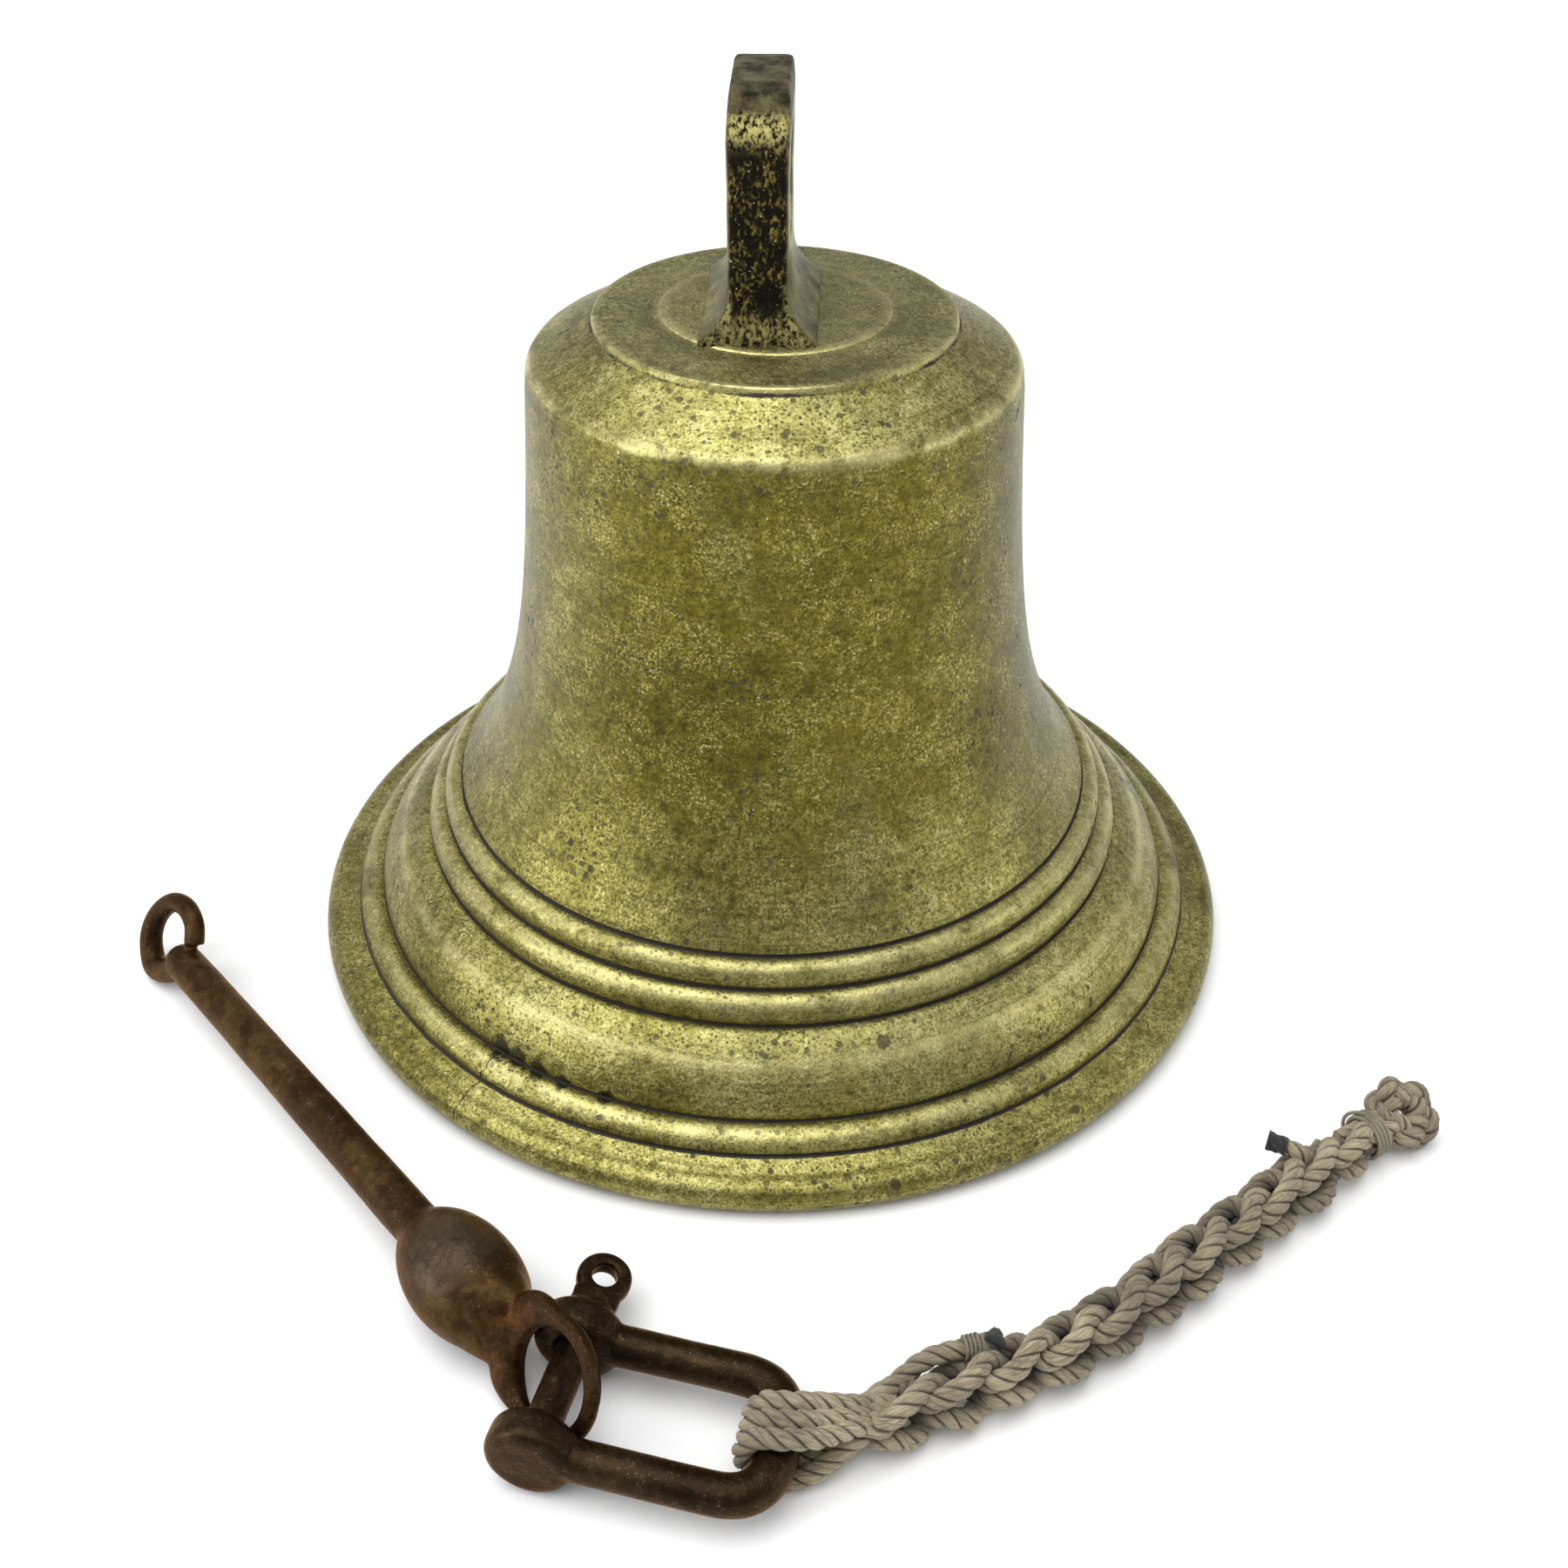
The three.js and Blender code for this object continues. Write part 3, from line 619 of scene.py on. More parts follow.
lanyard_pieces = [*turns_round, far_eye, *neck_cords, end_whip, end_whip_top, tail_whipped, tail_whip,
                  tail_burnt]
for piece in (chain, *lanyard_pieces):
    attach(piece, "lanyard")
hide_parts("lanyard_braid")
for piece in turns_round:
    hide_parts("lanyard_bight")
for piece in (far_eye, *neck_cords):
    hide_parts("lanyard_end_eye")
for piece in (end_whip, end_whip_top):
    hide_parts("lanyard_end_whipping")
for piece, node in ((tail_whipped, "lanyard_tail_whipped"), (tail_whip, "lanyard_tail_whipping"),
                    (tail_burnt, "lanyard_tail_burnt")):
    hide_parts(node)

# %% [markdown]
# ## Brass
# The bell was cast and then turned. Years of polish and salt air have left it olive gold, with a grey-green
# bloom where hands do not reach, small dark pits in clusters, black dirt in the turned grooves and bright
# metal on every proud edge. Dirt, wear, the unturned inside, and painted light and shade are painted on the
# mesh as numbers.


# %% Brass finishes
def on_bell(turn, radius, height):
    """A place on the bell: degrees round from its right side, then mm from the axis and above the lip."""
    angle = math.radians(turn)
    return bell_place @ (Vector((radius * math.cos(angle), radius * math.sin(angle), height)) * MM)


def stains(finish, places, ragged, breaking=0.9):
    """Dark spots, each a place and a size in metres, with edges broken by noise."""
    broken = finish.times(finish.minus(ragged, 0.5), breaking)
    dark = None
    for place, size in places:
        away = finish.vector("DISTANCE", finish.place, place, "Value")
        spot = finish.band(finish.plus(finish.math("DIVIDE", away, size), broken), 1.15, 0.8)
        dark = spot if dark is None else finish.greater(dark, spot)
    return dark


def hairline(finish, place, turn, half_width):
    """A crack that runs up and down at one place, wandering a little from side to side."""
    across = Vector((-math.sin(math.radians(turn)), math.cos(math.radians(turn)), 0))
    from_crack = finish.vector("SUBTRACT", finish.place, place)
    aside = finish.vector("DOT_PRODUCT", from_crack, across, "Value")
    wander = finish.times(finish.minus(finish.noise(140, 3, 0.6), 0.5), 0.006)
    line = finish.band(finish.math("ABSOLUTE", finish.plus(aside, wander)), half_width, half_width * 0.4)
    near = finish.vector("LENGTH", from_crack, (0, 0, 0), "Value")
    return finish.times(line, finish.band(near, 0.013, 0.009))


def brass_finish():
    brass = Finish("brass_aged")
    dirt, wear, inside = brass.painted("dirt"), brass.painted("wear"), brass.painted("inside")
    pale, hazy = brass.painted("pale"), brass.painted("hazy")
    cloud = brass.noise(11, 5, 0.6, warp=0.4)
    mottle = brass.noise(70, 8, 0.72)
    grain = brass.noise(1250, 3, 0.75)
    speckle = brass.noise(380, 6, 0.75)
    turning = brass.noise(1.0, 3, 0.6, where=brass.stretched((16, 16, 1100)))
    tone = brass.plus(brass.times(cloud, 0.25), brass.times(mottle, 0.22))
    tone = brass.plus(tone, brass.times(speckle, 0.53))
    deep = brass.colours(tone, (0.38, (0.045, 0.038, 0.005)), (0.47, (0.118, 0.102, 0.011)),
                         (0.54, (0.175, 0.152, 0.018)), (0.64, (0.34, 0.30, 0.06)))
    light = brass.colours(tone, (0.38, (0.10, 0.088, 0.02)), (0.47, (0.29, 0.262, 0.072)),
                          (0.54, (0.44, 0.405, 0.14)), (0.64, (0.72, 0.68, 0.31)))
    # The pale number mixes dark and light ramps: polish, and painted light on faces that look up and on the
    # left.
    lighter = brass.plus(pale, brass.times(brass.minus(mottle, 0.5), 0.3), clamp=True)
    colour = brass.over(lighter, deep, light)
    bloom = brass.band(brass.noise(17, 5, 0.65, where=brass.stretched((1, 1, 0.6))), 0.47, 0.66)
    bloom = brass.greater(brass.times(bloom, 0.28), brass.times(hazy, 0.6))
    colour = brass.over(bloom, colour, (0.235, 0.235, 0.125))
    streaks = brass.band(turning, 0.54, 0.66)
    colour = brass.over(brass.times(streaks, 0.42), colour, (0.07, 0.058, 0.014))
    fine = brass.band(grain, 0.51, 0.6)
    colour = brass.over(brass.times(fine, 0.68), colour, (0.045, 0.038, 0.008))
    sparks = brass.times(brass.band(grain, 0.45, 0.36), brass.band(mottle, 0.42, 0.6))
    colour = brass.over(brass.times(sparks, 0.7), colour, (0.62, 0.56, 0.24))
    clusters = brass.band(brass.noise(26, 4, 0.65), 0.46, 0.62)
    pit = brass.band(brass.plus(brass.cells(230), brass.times(mottle, 0.5)), 0.49, 0.37)
    small = brass.band(brass.plus(brass.cells(560), brass.times(cloud, 0.4)), 0.48, 0.36)
    pitted = brass.greater(clusters, brass.times(pale, 0.75))
    pits = brass.times(brass.greater(pit, small), pitted, clamp=True)
    colour = brass.over(brass.times(pits, 0.9), colour, (0.030, 0.025, 0.010))
    lime = brass.band(brass.cells(150), 0.055, 0.035)
    colour = brass.over(brass.times(lime, 0.7), colour, (0.66, 0.66, 0.50))
    bright = brass.times(wear, brass.band(mottle, 0.34, 0.56), clamp=True)
    colour = brass.over(brass.times(bright, 0.8), colour, (0.66, 0.60, 0.27))
    spots = stains(brass, [(on_bell(-73.7, 119.3, 35.3), 0.0022), (on_bell(-89.8, 145.9, 10.8), 0.0011),
                           (on_bell(-75.7, 148.8, 8.9), 0.0018), (on_bell(-80.8, 145.1, 10.9), 0.0011),
                           (on_bell(-110.5, 136.3, 16.9), 0.0009), (on_bell(-52, 147, 10), 0.0015),
                           (on_bell(-61, 108, 66), 0.0013), (on_bell(160, 120, 35), 0.002),
                           (on_bell(75, 146, 10), 0.0016)], speckle)
    colour = brass.over(brass.times(spots, 0.85), colour, (0.075, 0.058, 0.030))
    crack = hairline(brass, on_bell(-127.8, 141.5, 11.5), -127.8, 0.00028)
    black = stains(brass, [(on_bell(-127.2, 129.8, 20.6), 0.0042), (on_bell(-124.5, 130, 20.0), 0.0036),
                           (on_bell(-121, 130.3, 19.4), 0.0028), (on_bell(-117, 130.4, 19.2), 0.0024),
                           (on_bell(-111, 130.4, 19.2), 0.0022)], speckle, 3.2)
    marks = brass.greater(brass.times(black, 0.85), crack)
    colour = brass.over(marks, colour, (0.022, 0.022, 0.014))
    # The dirt number holds dirt and painted shade, below the shoulder and along the lip's lower edge.
    uneven = brass.minus(brass.plus(mottle, brass.times(speckle, 0.6)), 0.8)
    dirt_and_shade = brass.band(brass.plus(dirt, uneven), 0.40, 0.58)
    colour = brass.over(dirt_and_shade, colour, (0.018, 0.015, 0.008))
    colour = brass.over(brass.times(inside, 0.8), colour, (0.085, 0.07, 0.035))
    rough = brass.plus(brass.times(speckle, 0.3), 0.22)
    rough = brass.plus(rough, brass.times(brass.greater(pits, dirt_and_shade), 0.3))
    rough = brass.plus(rough, brass.times(bloom, 0.25))
    rough = brass.minus(rough, brass.times(bright, 0.1), clamp=True)
    metal = brass.minus(0.9, brass.times(brass.greater(dirt_and_shade, pits), 0.75))
    normal = brass.bumps((turning, 0.0001, 0.5), (brass.minus(mottle, pits), 0.0005, 0.5),
                         (brass.plus(speckle, grain), 0.0002, 0.6))
    return brass.done(Base_Color=colour, Metallic=metal, Roughness=rough, Normal=normal)


def lug_finish():
    cast = Finish("brass_cast_skin")
    skin, wear = cast.painted("skin"), cast.painted("wear")
    lump = cast.noise(150, 6, 0.72)
    grain = cast.noise(900, 4, 0.7, where=cast.stretched((1, 1, 0.55)))
    smooth = cast.colours(cast.noise(75, 7, 0.75), (0.38, (0.055, 0.048, 0.014)),
                          (0.52, (0.19, 0.170, 0.052)), (0.66, (0.38, 0.345, 0.135)))
    gold = cast.band(grain, 0.49, 0.62)
    rough_colour = cast.over(gold, (0.010, 0.008, 0.0035), (0.25, 0.195, 0.045))
    rough_colour = cast.over(cast.band(lump, 0.43, 0.60), (0.008, 0.0065, 0.003), rough_colour)
    rough_colour = cast.over(cast.band(cast.noise(1200, 2), 0.68, 0.74), rough_colour, (0.62, 0.56, 0.33))
    bright = cast.times(wear, cast.band(grain, 0.4, 0.56), clamp=True)
    rough_colour = cast.over(bright, rough_colour, (0.58, 0.52, 0.20))
    colour = cast.over(skin, smooth, rough_colour)
    top = cast.painted("top")
    grey = cast.colours(cast.noise(120, 6, 0.7), (0.40, (0.020, 0.017, 0.009)), (0.60, (0.17, 0.15, 0.075)))
    colour = cast.over(cast.times(top, 0.92), colour, grey)
    roughness = cast.plus(0.38, cast.times(skin, 0.25))
    metal = cast.minus(0.85, cast.times(skin, 0.12))
    depth = cast.times(cast.plus(grain, lump), cast.plus(skin, 0.15))
    return cast.done(Base_Color=colour, Metallic=metal, Roughness=roughness, Specular_IOR_Level=0.2,
                     Normal=cast.bumps((depth, 0.0012, 0.85)))


brass_aged = brass_finish()
brass_cast_skin = lug_finish()

# %% [markdown]
# ## The bell
# A bell is a body of revolution, so one outline swung round the axis makes all of it: crown, shoulder,
# waist, the five turned grooves with the beads between them, the lip, and the hollow inside. The outline
# could be spun in mesh code; a tree does the same and keeps the number of sides as an input.

# %% The outline of the bell
# Sizes in mm. A groove is its radius, its height and how far the bead below it stands out.
crown, crown_wall, waist_wall, inside_round = 209.5, 11, 7, 10
mouth_radius, lip_round = 150, 5.5
grooves = [(101.6, 55.6, 2.0), (107.1, 47.8, 2.2), (112.7, 38.9, 3.2), (130.4, 18.8, 1.7), (138.7, 13.4, 0)]
shoulder_radius, shoulder_round = 71.3, 5.0
waist_top = crown - 12 - shoulder_round
waist_base = grooves[0][1]


def waist_radius(height):
    taper, flare, flare_length = 6.0, 24.3, 30.0
    down = (waist_top - height) / (waist_top - waist_base)
    spread = flare * math.exp((waist_base - height) / flare_length)
    return shoulder_radius + (taper * down + spread) * (grooves[0][0] - shoulder_radius) / (taper + flare)


def arc(centre, radius, start, stop, steps):
    angles = [math.radians(start + (stop - start) * i / steps) for i in range(steps + 1)]
    return [(centre[0] + radius * math.cos(a), centre[1] + radius * math.sin(a)) for a in angles]


def spread_out(ends, steps):
    (r0, z0), (r1, z1) = ends
    return [(r0 + (r1 - r0) * i / steps, z0 + (z1 - z0) * i / steps) for i in range(steps)]


def outside_outline():
    line = [*spread_out([(0, crown), (32.0, crown)], 12), (32.4, crown - 0.05), (32.7, crown - 0.25),
            (32.9, crown - 0.45)]
    line += spread_out([(33.2, crown - 0.5), (51.0, crown - 1.35)], 10)
    line += [(51.0, crown - 1.35), (51.45, crown - 1.5), (51.8, crown - 1.9), (52.0, crown - 2.8)]
    line += spread_out([(52.4, crown - 3.3), (68.0, waist_top + 4.75)], 12)
    line += arc((shoulder_radius - shoulder_round, waist_top), shoulder_round, 66, 0, 8)
    steps = 64
    line += [(waist_radius(z), z) for z in (waist_top + (waist_base + 0.8 - waist_top) * (i / steps) ** 0.9
                                            for i in range(1, steps + 1))]
    for i, (radius, height, bulge) in enumerate(grooves):
        line += [(radius - 0.75, height - 0.1), (radius - 1.1, height - 0.55),
                 (radius - 0.55, height - 0.8)]
        if i + 1 == len(grooves):
            break
        start, stop = Vector((radius, height)), Vector(grooves[i + 1][:2])
        way = (stop - start).normalized() * 0.7
        start, stop = start + way, stop - way
        left = Vector((-(stop - start).y, (stop - start).x)).normalized()
        bead_steps = 22 if bulge > 3 else 12
        for k in range(bead_steps + 1):
            t = k / bead_steps
            line.append(tuple(start.lerp(stop, t) + left * (bulge * (4 * t * (1 - t)) ** 0.75)))
    line += spread_out([(138.5, 12.5), (143.2, 11.0)], 5)
    line += arc((mouth_radius - lip_round, lip_round), lip_round, 100, -90, 18)
    return line


def inside_outline():
    line = [*spread_out([(144, 0), (133, 0)], 4), (132.5, 0), (131.6, 0.8)]
    line += spread_out([(131.4, 1.3), (115.4, 24)], 8)
    ceiling = crown - crown_wall
    inside_top = ceiling - inside_round
    steps = 20
    for i in range(steps + 1):
        height = 63.6 + (inside_top - 63.6) * i / steps
        line.append((waist_radius(height) - waist_wall, height))
    corner = (shoulder_radius - waist_wall - inside_round, inside_top)
    line += arc(corner, inside_round, 20, 90, 6)
    line += spread_out([(50, ceiling), (0, ceiling)], 8)
    line.append((0, ceiling))
    return line


outer, inner = outside_outline(), inside_outline()
outline_marks = outer + inner
print("bell outline", len(outline_marks), "points")

# %% The lathe tree and the bell
tree, keys = new_tree("turned", {"Sides": "Int", "Finish": "Material"})
given = add_node(tree, "NodeGroupInput").outputs
swing = 0.1
circle = add_node(tree, "GeometryNodeCurvePrimitiveCircle", {"Resolution": given["Sides"], "Radius": swing})
spun = add_node(tree, "GeometryNodeCurveToMesh", {"Curve": circle.outputs["Curve"],
                                                  "Profile Curve": given["Geometry"]})
welded = add_node(tree, "GeometryNodeMergeByDistance", {"Geometry": spun.outputs[0], "Distance": 0.000005})
end_tree(tree, welded.outputs[0], given["Finish"])
turned = (tree, keys)

outline = line_through("bell_outline", [(r * MM - swing, -z * MM, 0) for r, z in outline_marks])
bell = grow("bell_body", turned, outline, bell_place, Sides=300, Finish=brass_aged)


def face_outwards(mesh):
    """Turns every face to the outside."""
    work = bmesh.new()
    work.from_mesh(mesh)
    bmesh.ops.remove_doubles(work, verts=work.verts, dist=1e-7)
    bmesh.ops.recalc_face_normals(work, faces=work.faces)
    work.to_mesh(mesh)
    work.free()


face_outwards(bell.data)


def paint(piece, **fields):
    """Writes one number per point for each named field, from a function of the point and its normal."""
    mesh = piece.data
    for name, value_at in fields.items():
        mark = mesh.attributes.new(name, "FLOAT", "POINT")
        for vertex, value in zip(mesh.vertices, mark.data):
            value.value = value_at(vertex.co, vertex.normal)


axis_x, axis_y = bell_place.translation.x, bell_place.translation.y


def smooth_step(value, low, high):
    share = max(0.0, min(1.0, (value - low) / (high - low)))
    return share * share * (3 - 2 * share)


def hump(value, middle, reach):
    """1 at the middle, falling smoothly to both sides."""
    return math.exp(-((value - middle) / reach) ** 2)


def above_lip(point):
    return (point.z - bell_place.translation.z) / MM


def from_axis(point):
    return math.hypot(point.x - axis_x, point.y - axis_y) / MM, above_lip(point)


inside_marks = {(round(r, 1), round(z, 1)) for r, z in inner}
bead_crests = [((a[0] + b[0]) / 2, (a[1] + b[1]) / 2 + a[2]) for a, b in zip(grooves, grooves[1:])]
proud_edges = [(51.6, crown - 1.6, 0.8), (shoulder_radius - 1.2, waist_top + 3.0, 1.7),
               (32.7, crown - 0.3, 0.45)]
proud_edges += [(r + 0.4, z + 0.4, 2.0) for r, z in bead_crests]


def close_to(r, z, marks, width=None):
    nearest = 0.0
    for mark in marks:
        reach = width or mark[2]
        nearest = max(nearest, math.exp(-((r - mark[0]) ** 2 + (z - mark[1]) ** 2) / reach ** 2))
    return nearest


def bell_dirt_and_shade(point, normal):
    r, z = from_axis(point)
    in_groove = close_to(r, z, [(g[0] - 0.8, g[1] - 0.45) for g in grooves], 0.95)
    under_step = close_to(r, z, [(52.3, crown - 3.1)], 0.8) * 0.6
    # Painted shade: a dark band just below the shoulder.
    shade_under_shoulder = 0.35 * hump(z, waist_top - 3, 9) * smooth_step(z, waist_top + 1.5, waist_top - 0.5)
    above_groove = 0.26 * hump(z, waist_base + 2, 6) * smooth_step(z, waist_base, waist_base + 1)
    # Dirt and painted shade along the lip's lower edge, stronger on the left.
    low_edge_dirt_and_shade = (0.28 + max(0.0, -(point.x - axis_x) / (150 * MM)) * 0.14) * smooth_step(z, 8, 2)
    return max(in_groove, under_step, shade_under_shoulder, above_groove, low_edge_dirt_and_shade)


def bell_wear(point, normal):
    r, z = from_axis(point)
    return close_to(r, z, proud_edges) * (1 if z > 60 else 0.6)


def bell_polish_and_light(point, normal):
    """Polish and painted light: lighter on the shoulder, on faces looking up and on the left; patina below.
    """
    z = above_lip(point)
    # The shoulder is lighter, partly polish and partly painted light from above.
    shoulder = 0.88 - 0.2 * smooth_step(z, crown - 3.2, crown - 2.4)
    shoulder *= smooth_step(z, waist_top + 1.2, waist_top + 2.6)
    # Painted light: faces that look up are lighter, and beads darker towards the left and right as seen and
    # near the lip.
    sideways = abs(point.x - axis_x) / (150 * MM)
    painted_light_up = (0.1 + 0.75 * smooth_step(normal.z, 0.15, 0.8)) * (1 - 0.55 * smooth_step(sideways, 0.55, 1.0))
    beads = painted_light_up * smooth_step(z, waist_base + 2, waist_base - 1) * (1 - 0.35 * smooth_step(z, 17, 9))
    low_waist = 0.46 * smooth_step(z, 105, 62)
    # Painted light: the left side of the upper waist is lighter.
    painted_light_left = 0.26 * smooth_step(axis_x - point.x, 30 * MM, 66 * MM) * smooth_step(z, 60, 90)
    return max(shoulder, beads, low_waist, painted_light_left, 0.02)


def bell_hazy(point, normal):
    return smooth_step(above_lip(point), crown - 2.6, crown - 1.6) * 0.6


def bell_inside(point, normal):
    r, z = from_axis(point)
    return 1.0 if (round(r, 1), round(z, 1)) in inside_marks and z > 0.4 else 0.0


paint(bell, dirt=bell_dirt_and_shade, wear=bell_wear, pale=bell_polish_and_light, hazy=bell_hazy, inside=bell_inside)
print("bell", len(bell.data.polygons), "faces")

# %% [markdown]
# ## Solid lumps joined smoothly
# The lug, the clapper and the shackle were cast or forged, so their parts flow into each other. Each is
# built from simple closed solids that overlap, welded by a voxel remesh, and then smoothed, which leaves
# the soft inner corners that hammer and mould leave.


# %% Helpers for lumps
def loft(rings):
    """Closed mesh through rings of points of equal count, with both ends closed."""
    work = bmesh.new()
    made = [[work.verts.new(p) for p in ring] for ring in rings]
    count = len(made[0])
    for a, b in zip(made, made[1:]):
        for i in range(count):
            work.faces.new((a[i], a[(i + 1) % count], b[(i + 1) % count], b[i]))
    work.faces.new(made[0][::-1])
    work.faces.new(made[-1])
    bmesh.ops.recalc_face_normals(work, faces=work.faces)
    return work


def rod_along(points, radii, sides=20):
    """Round bar along points; radii is one number or one for each point."""
    points = [Vector(p) for p in points]
    radii = radii if isinstance(radii, list) else [radii] * len(points)
    rings = []
    side = Vector((0, 1, 0)) if abs((points[1] - points[0]).normalized().y) < 0.9 else Vector((0, 0, 1))
    for i, (point, radius) in enumerate(zip(points, radii)):
        ahead = (points[min(i + 1, len(points) - 1)] - points[max(i - 1, 0)]).normalized()
        side = (side - ahead * side.dot(ahead)).normalized()
        up = ahead.cross(side)
        rings.append([point + (side * math.cos(a) + up * math.sin(a)) * radius for a in angles(sides)])
    return loft(rings)


def ring_about(centre, axis, profile, sides=40):
    """Closed ring: profile points are (radius, height along the axis)."""
    axis = Vector(axis).normalized()
    first = axis.orthogonal().normalized()
    second = axis.cross(first)
    work = bmesh.new()
    made = [[work.verts.new(Vector(centre) + (first * math.cos(a) + second * math.sin(a)) * r + axis * h)
             for r, h in profile] for a in angles(sides)]
    count = len(profile)
    for k in range(sides):
        a, b = made[k], made[(k + 1) % sides]
        for i in range(count):
            work.faces.new((a[i], a[(i + 1) % count], b[(i + 1) % count], b[i]))
    bmesh.ops.recalc_face_normals(work, faces=work.faces)
    return work


def rounded_box(inner_radius, outer_radius, half, corner):
    """Section of a flat ring with rounded corners, for ring_about."""
    out = arc((outer_radius - corner, half - corner), corner, 0, 90, 5)
    out += arc((inner_radius + corner * 0.5, half - corner * 0.5), corner * 0.5, 90, 180, 3)
    low_side = [(r, -h) for r, h in reversed(out)]
    return out + low_side


def welded_lump(name, parts, voxel, smoothing, finish, place, roughen=0.0):
    mesh = bpy.data.meshes.new(name)
    whole = bmesh.new()
    for part in parts:
        piece_mesh = bpy.data.meshes.new("part")
        part.to_mesh(piece_mesh)
        whole.from_mesh(piece_mesh)
        part.free()
        bpy.data.meshes.remove(piece_mesh)
    bmesh.ops.scale(whole, vec=(MM, MM, MM), verts=whole.verts)
    whole.to_mesh(mesh)
    whole.free()
    holder = put(name, mesh)
    weld = holder.modifiers.new("weld", "REMESH")
    weld.mode = "VOXEL"
    weld.voxel_size = voxel * MM
    soften = holder.modifiers.new("soften", "SMOOTH")
    soften.factor = 0.5
    soften.iterations = smoothing
    made = plain_mesh(holder)
    outward = [vertex.normal.copy() for vertex in made.vertices]
    for vertex, way in zip(made.vertices, outward):
        depth = noise.noise(vertex.co * 45) + 0.5 * noise.noise(vertex.co * 140)
        vertex.co += way * (depth * roughen * MM)
    made.transform(place)
    made.polygons.foreach_set("use_smooth", [True] * len(made.polygons))
    made.materials.clear()
    made.materials.append(finish)
    print(name, len(made.polygons), "faces")
    return put(name, made)


# %% [markdown]
# ## The hanging lug
# The lug stands on the crown and is cast with it: a thick plate with an oblong hole, round shoulders, and
# a foot that spreads in a hollow curve. It is drawn as a stack of slices, wide at the foot, with the hole
# left open between its two legs.


# %% The lug
def slice_at(z, front, back, half_width, corner=2.6):
    """Rounded rectangle at one height: Y from front to back, X across."""
    out = []
    across, near, far = half_width - corner, front + corner, back - corner
    for i, middle in enumerate(((across, far), (-across, far), (-across, near), (across, near))):
        out += [(x, y, z) for x, y in arc(middle, corner, 90 * i, 90 * i + 90, 4)]
    return out


half_thick = 8.25
lug_half, lug_height, lug_corner = 25.5, 65.5, 14
hole_base, hole_top, hole_half = 19.5, 52.5, 13.5


def half_width_at(z):
    foot_height, foot_flare = 15, 9.0
    rise = max(0.0, min(1.0, z / foot_height))
    return half_thick + foot_flare * (1 - rise) ** 2.6


def toe(z):
    """How far the foot spreads past each end of the lug at a height."""
    return 2.8 * max(0.0, 1 - z / 9)


def rounded_reach(z):
    """Half the lug's length at a height, less under its two round shoulders."""
    into_corner = max(0.0, z - lug_height + lug_corner)
    return lug_half - lug_corner + math.sqrt(max(0.0, lug_corner ** 2 - into_corner ** 2))


def lug_parts():
    foot = [slice_at(z, -lug_half - toe(z), lug_half + toe(z), half_width_at(max(z, 0.5)), 1.2)
            for z in (-3, 0, 1, 2, 3.5, 5, 7, 9, 12, 15, 18.5, hole_base + 0.5)]
    legs = []
    for side in (-1, 1):
        rings = []
        for i in range(25):
            z = hole_base - 1 + (hole_top - hole_base + 2) * i / 24
            near_end = min(z - hole_base, hole_top - z)
            into_end = hole_half - max(near_end, 0)
            gap = hole_half if near_end > hole_half else math.sqrt(max(0.0, hole_half ** 2 - into_end ** 2))
            span = sorted((side * max(gap, 0.02), side * rounded_reach(z)))
            rings.append(slice_at(z, span[0], span[1], half_thick, 0.4 if gap < 1 else 1.8))
        legs.append(loft(rings))
    cap = []
    for i in range(13):
        z = hole_top - 0.5 + (lug_height - hole_top + 0.5) * i / 12
        cap.append(slice_at(z, -rounded_reach(z), rounded_reach(z), half_thick - 0.5 * (i / 12) ** 4, 1.8))
    return [loft(foot), *legs, loft(cap)]


lug_turn = Matrix.Rotation(math.radians(-1.4), 4, "Z")
lug_place = bell_place @ Matrix.Translation((-3.9 * MM, 0, crown * MM)) @ lug_turn
lug = welded_lump("bell_lug", lug_parts(), voxel=0.75, smoothing=6, finish=brass_cast_skin,
                  place=lug_place, roughen=0.25)
lug_inverse = lug_place.inverted()


def lug_skin(point, normal):
    height = (lug_inverse @ point).z / MM
    facing = abs(normal.y) + max(0.0, 0.2 - abs(normal.x)) * 2
    upper = 0.7 * smooth_step(height, 52, 60)
    return max(upper, min(1.0, (facing - 0.45) * 3))


def lug_wear(point, normal):
    local = lug_inverse @ point / MM
    upper = hump(local.z, 57.5, 3.6) * 1.1
    foot = hump(local.z, 2.5, 4) * 0.42
    side_edge = 0.75 * smooth_step(abs(local.x), 6.6, 7.9) * smooth_step(8, 16, local.z)
    return max(upper + foot, side_edge) * max(0.0, abs(normal.y))


def lug_top(point, normal):
    local = lug_inverse @ point / MM
    return smooth_step(local.z, 59.5, 61.5)


paint(lug, skin=lug_skin, wear=lug_wear, top=lug_top)
for piece in (bell, lug):
    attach(piece, "bell")
    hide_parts("bell")
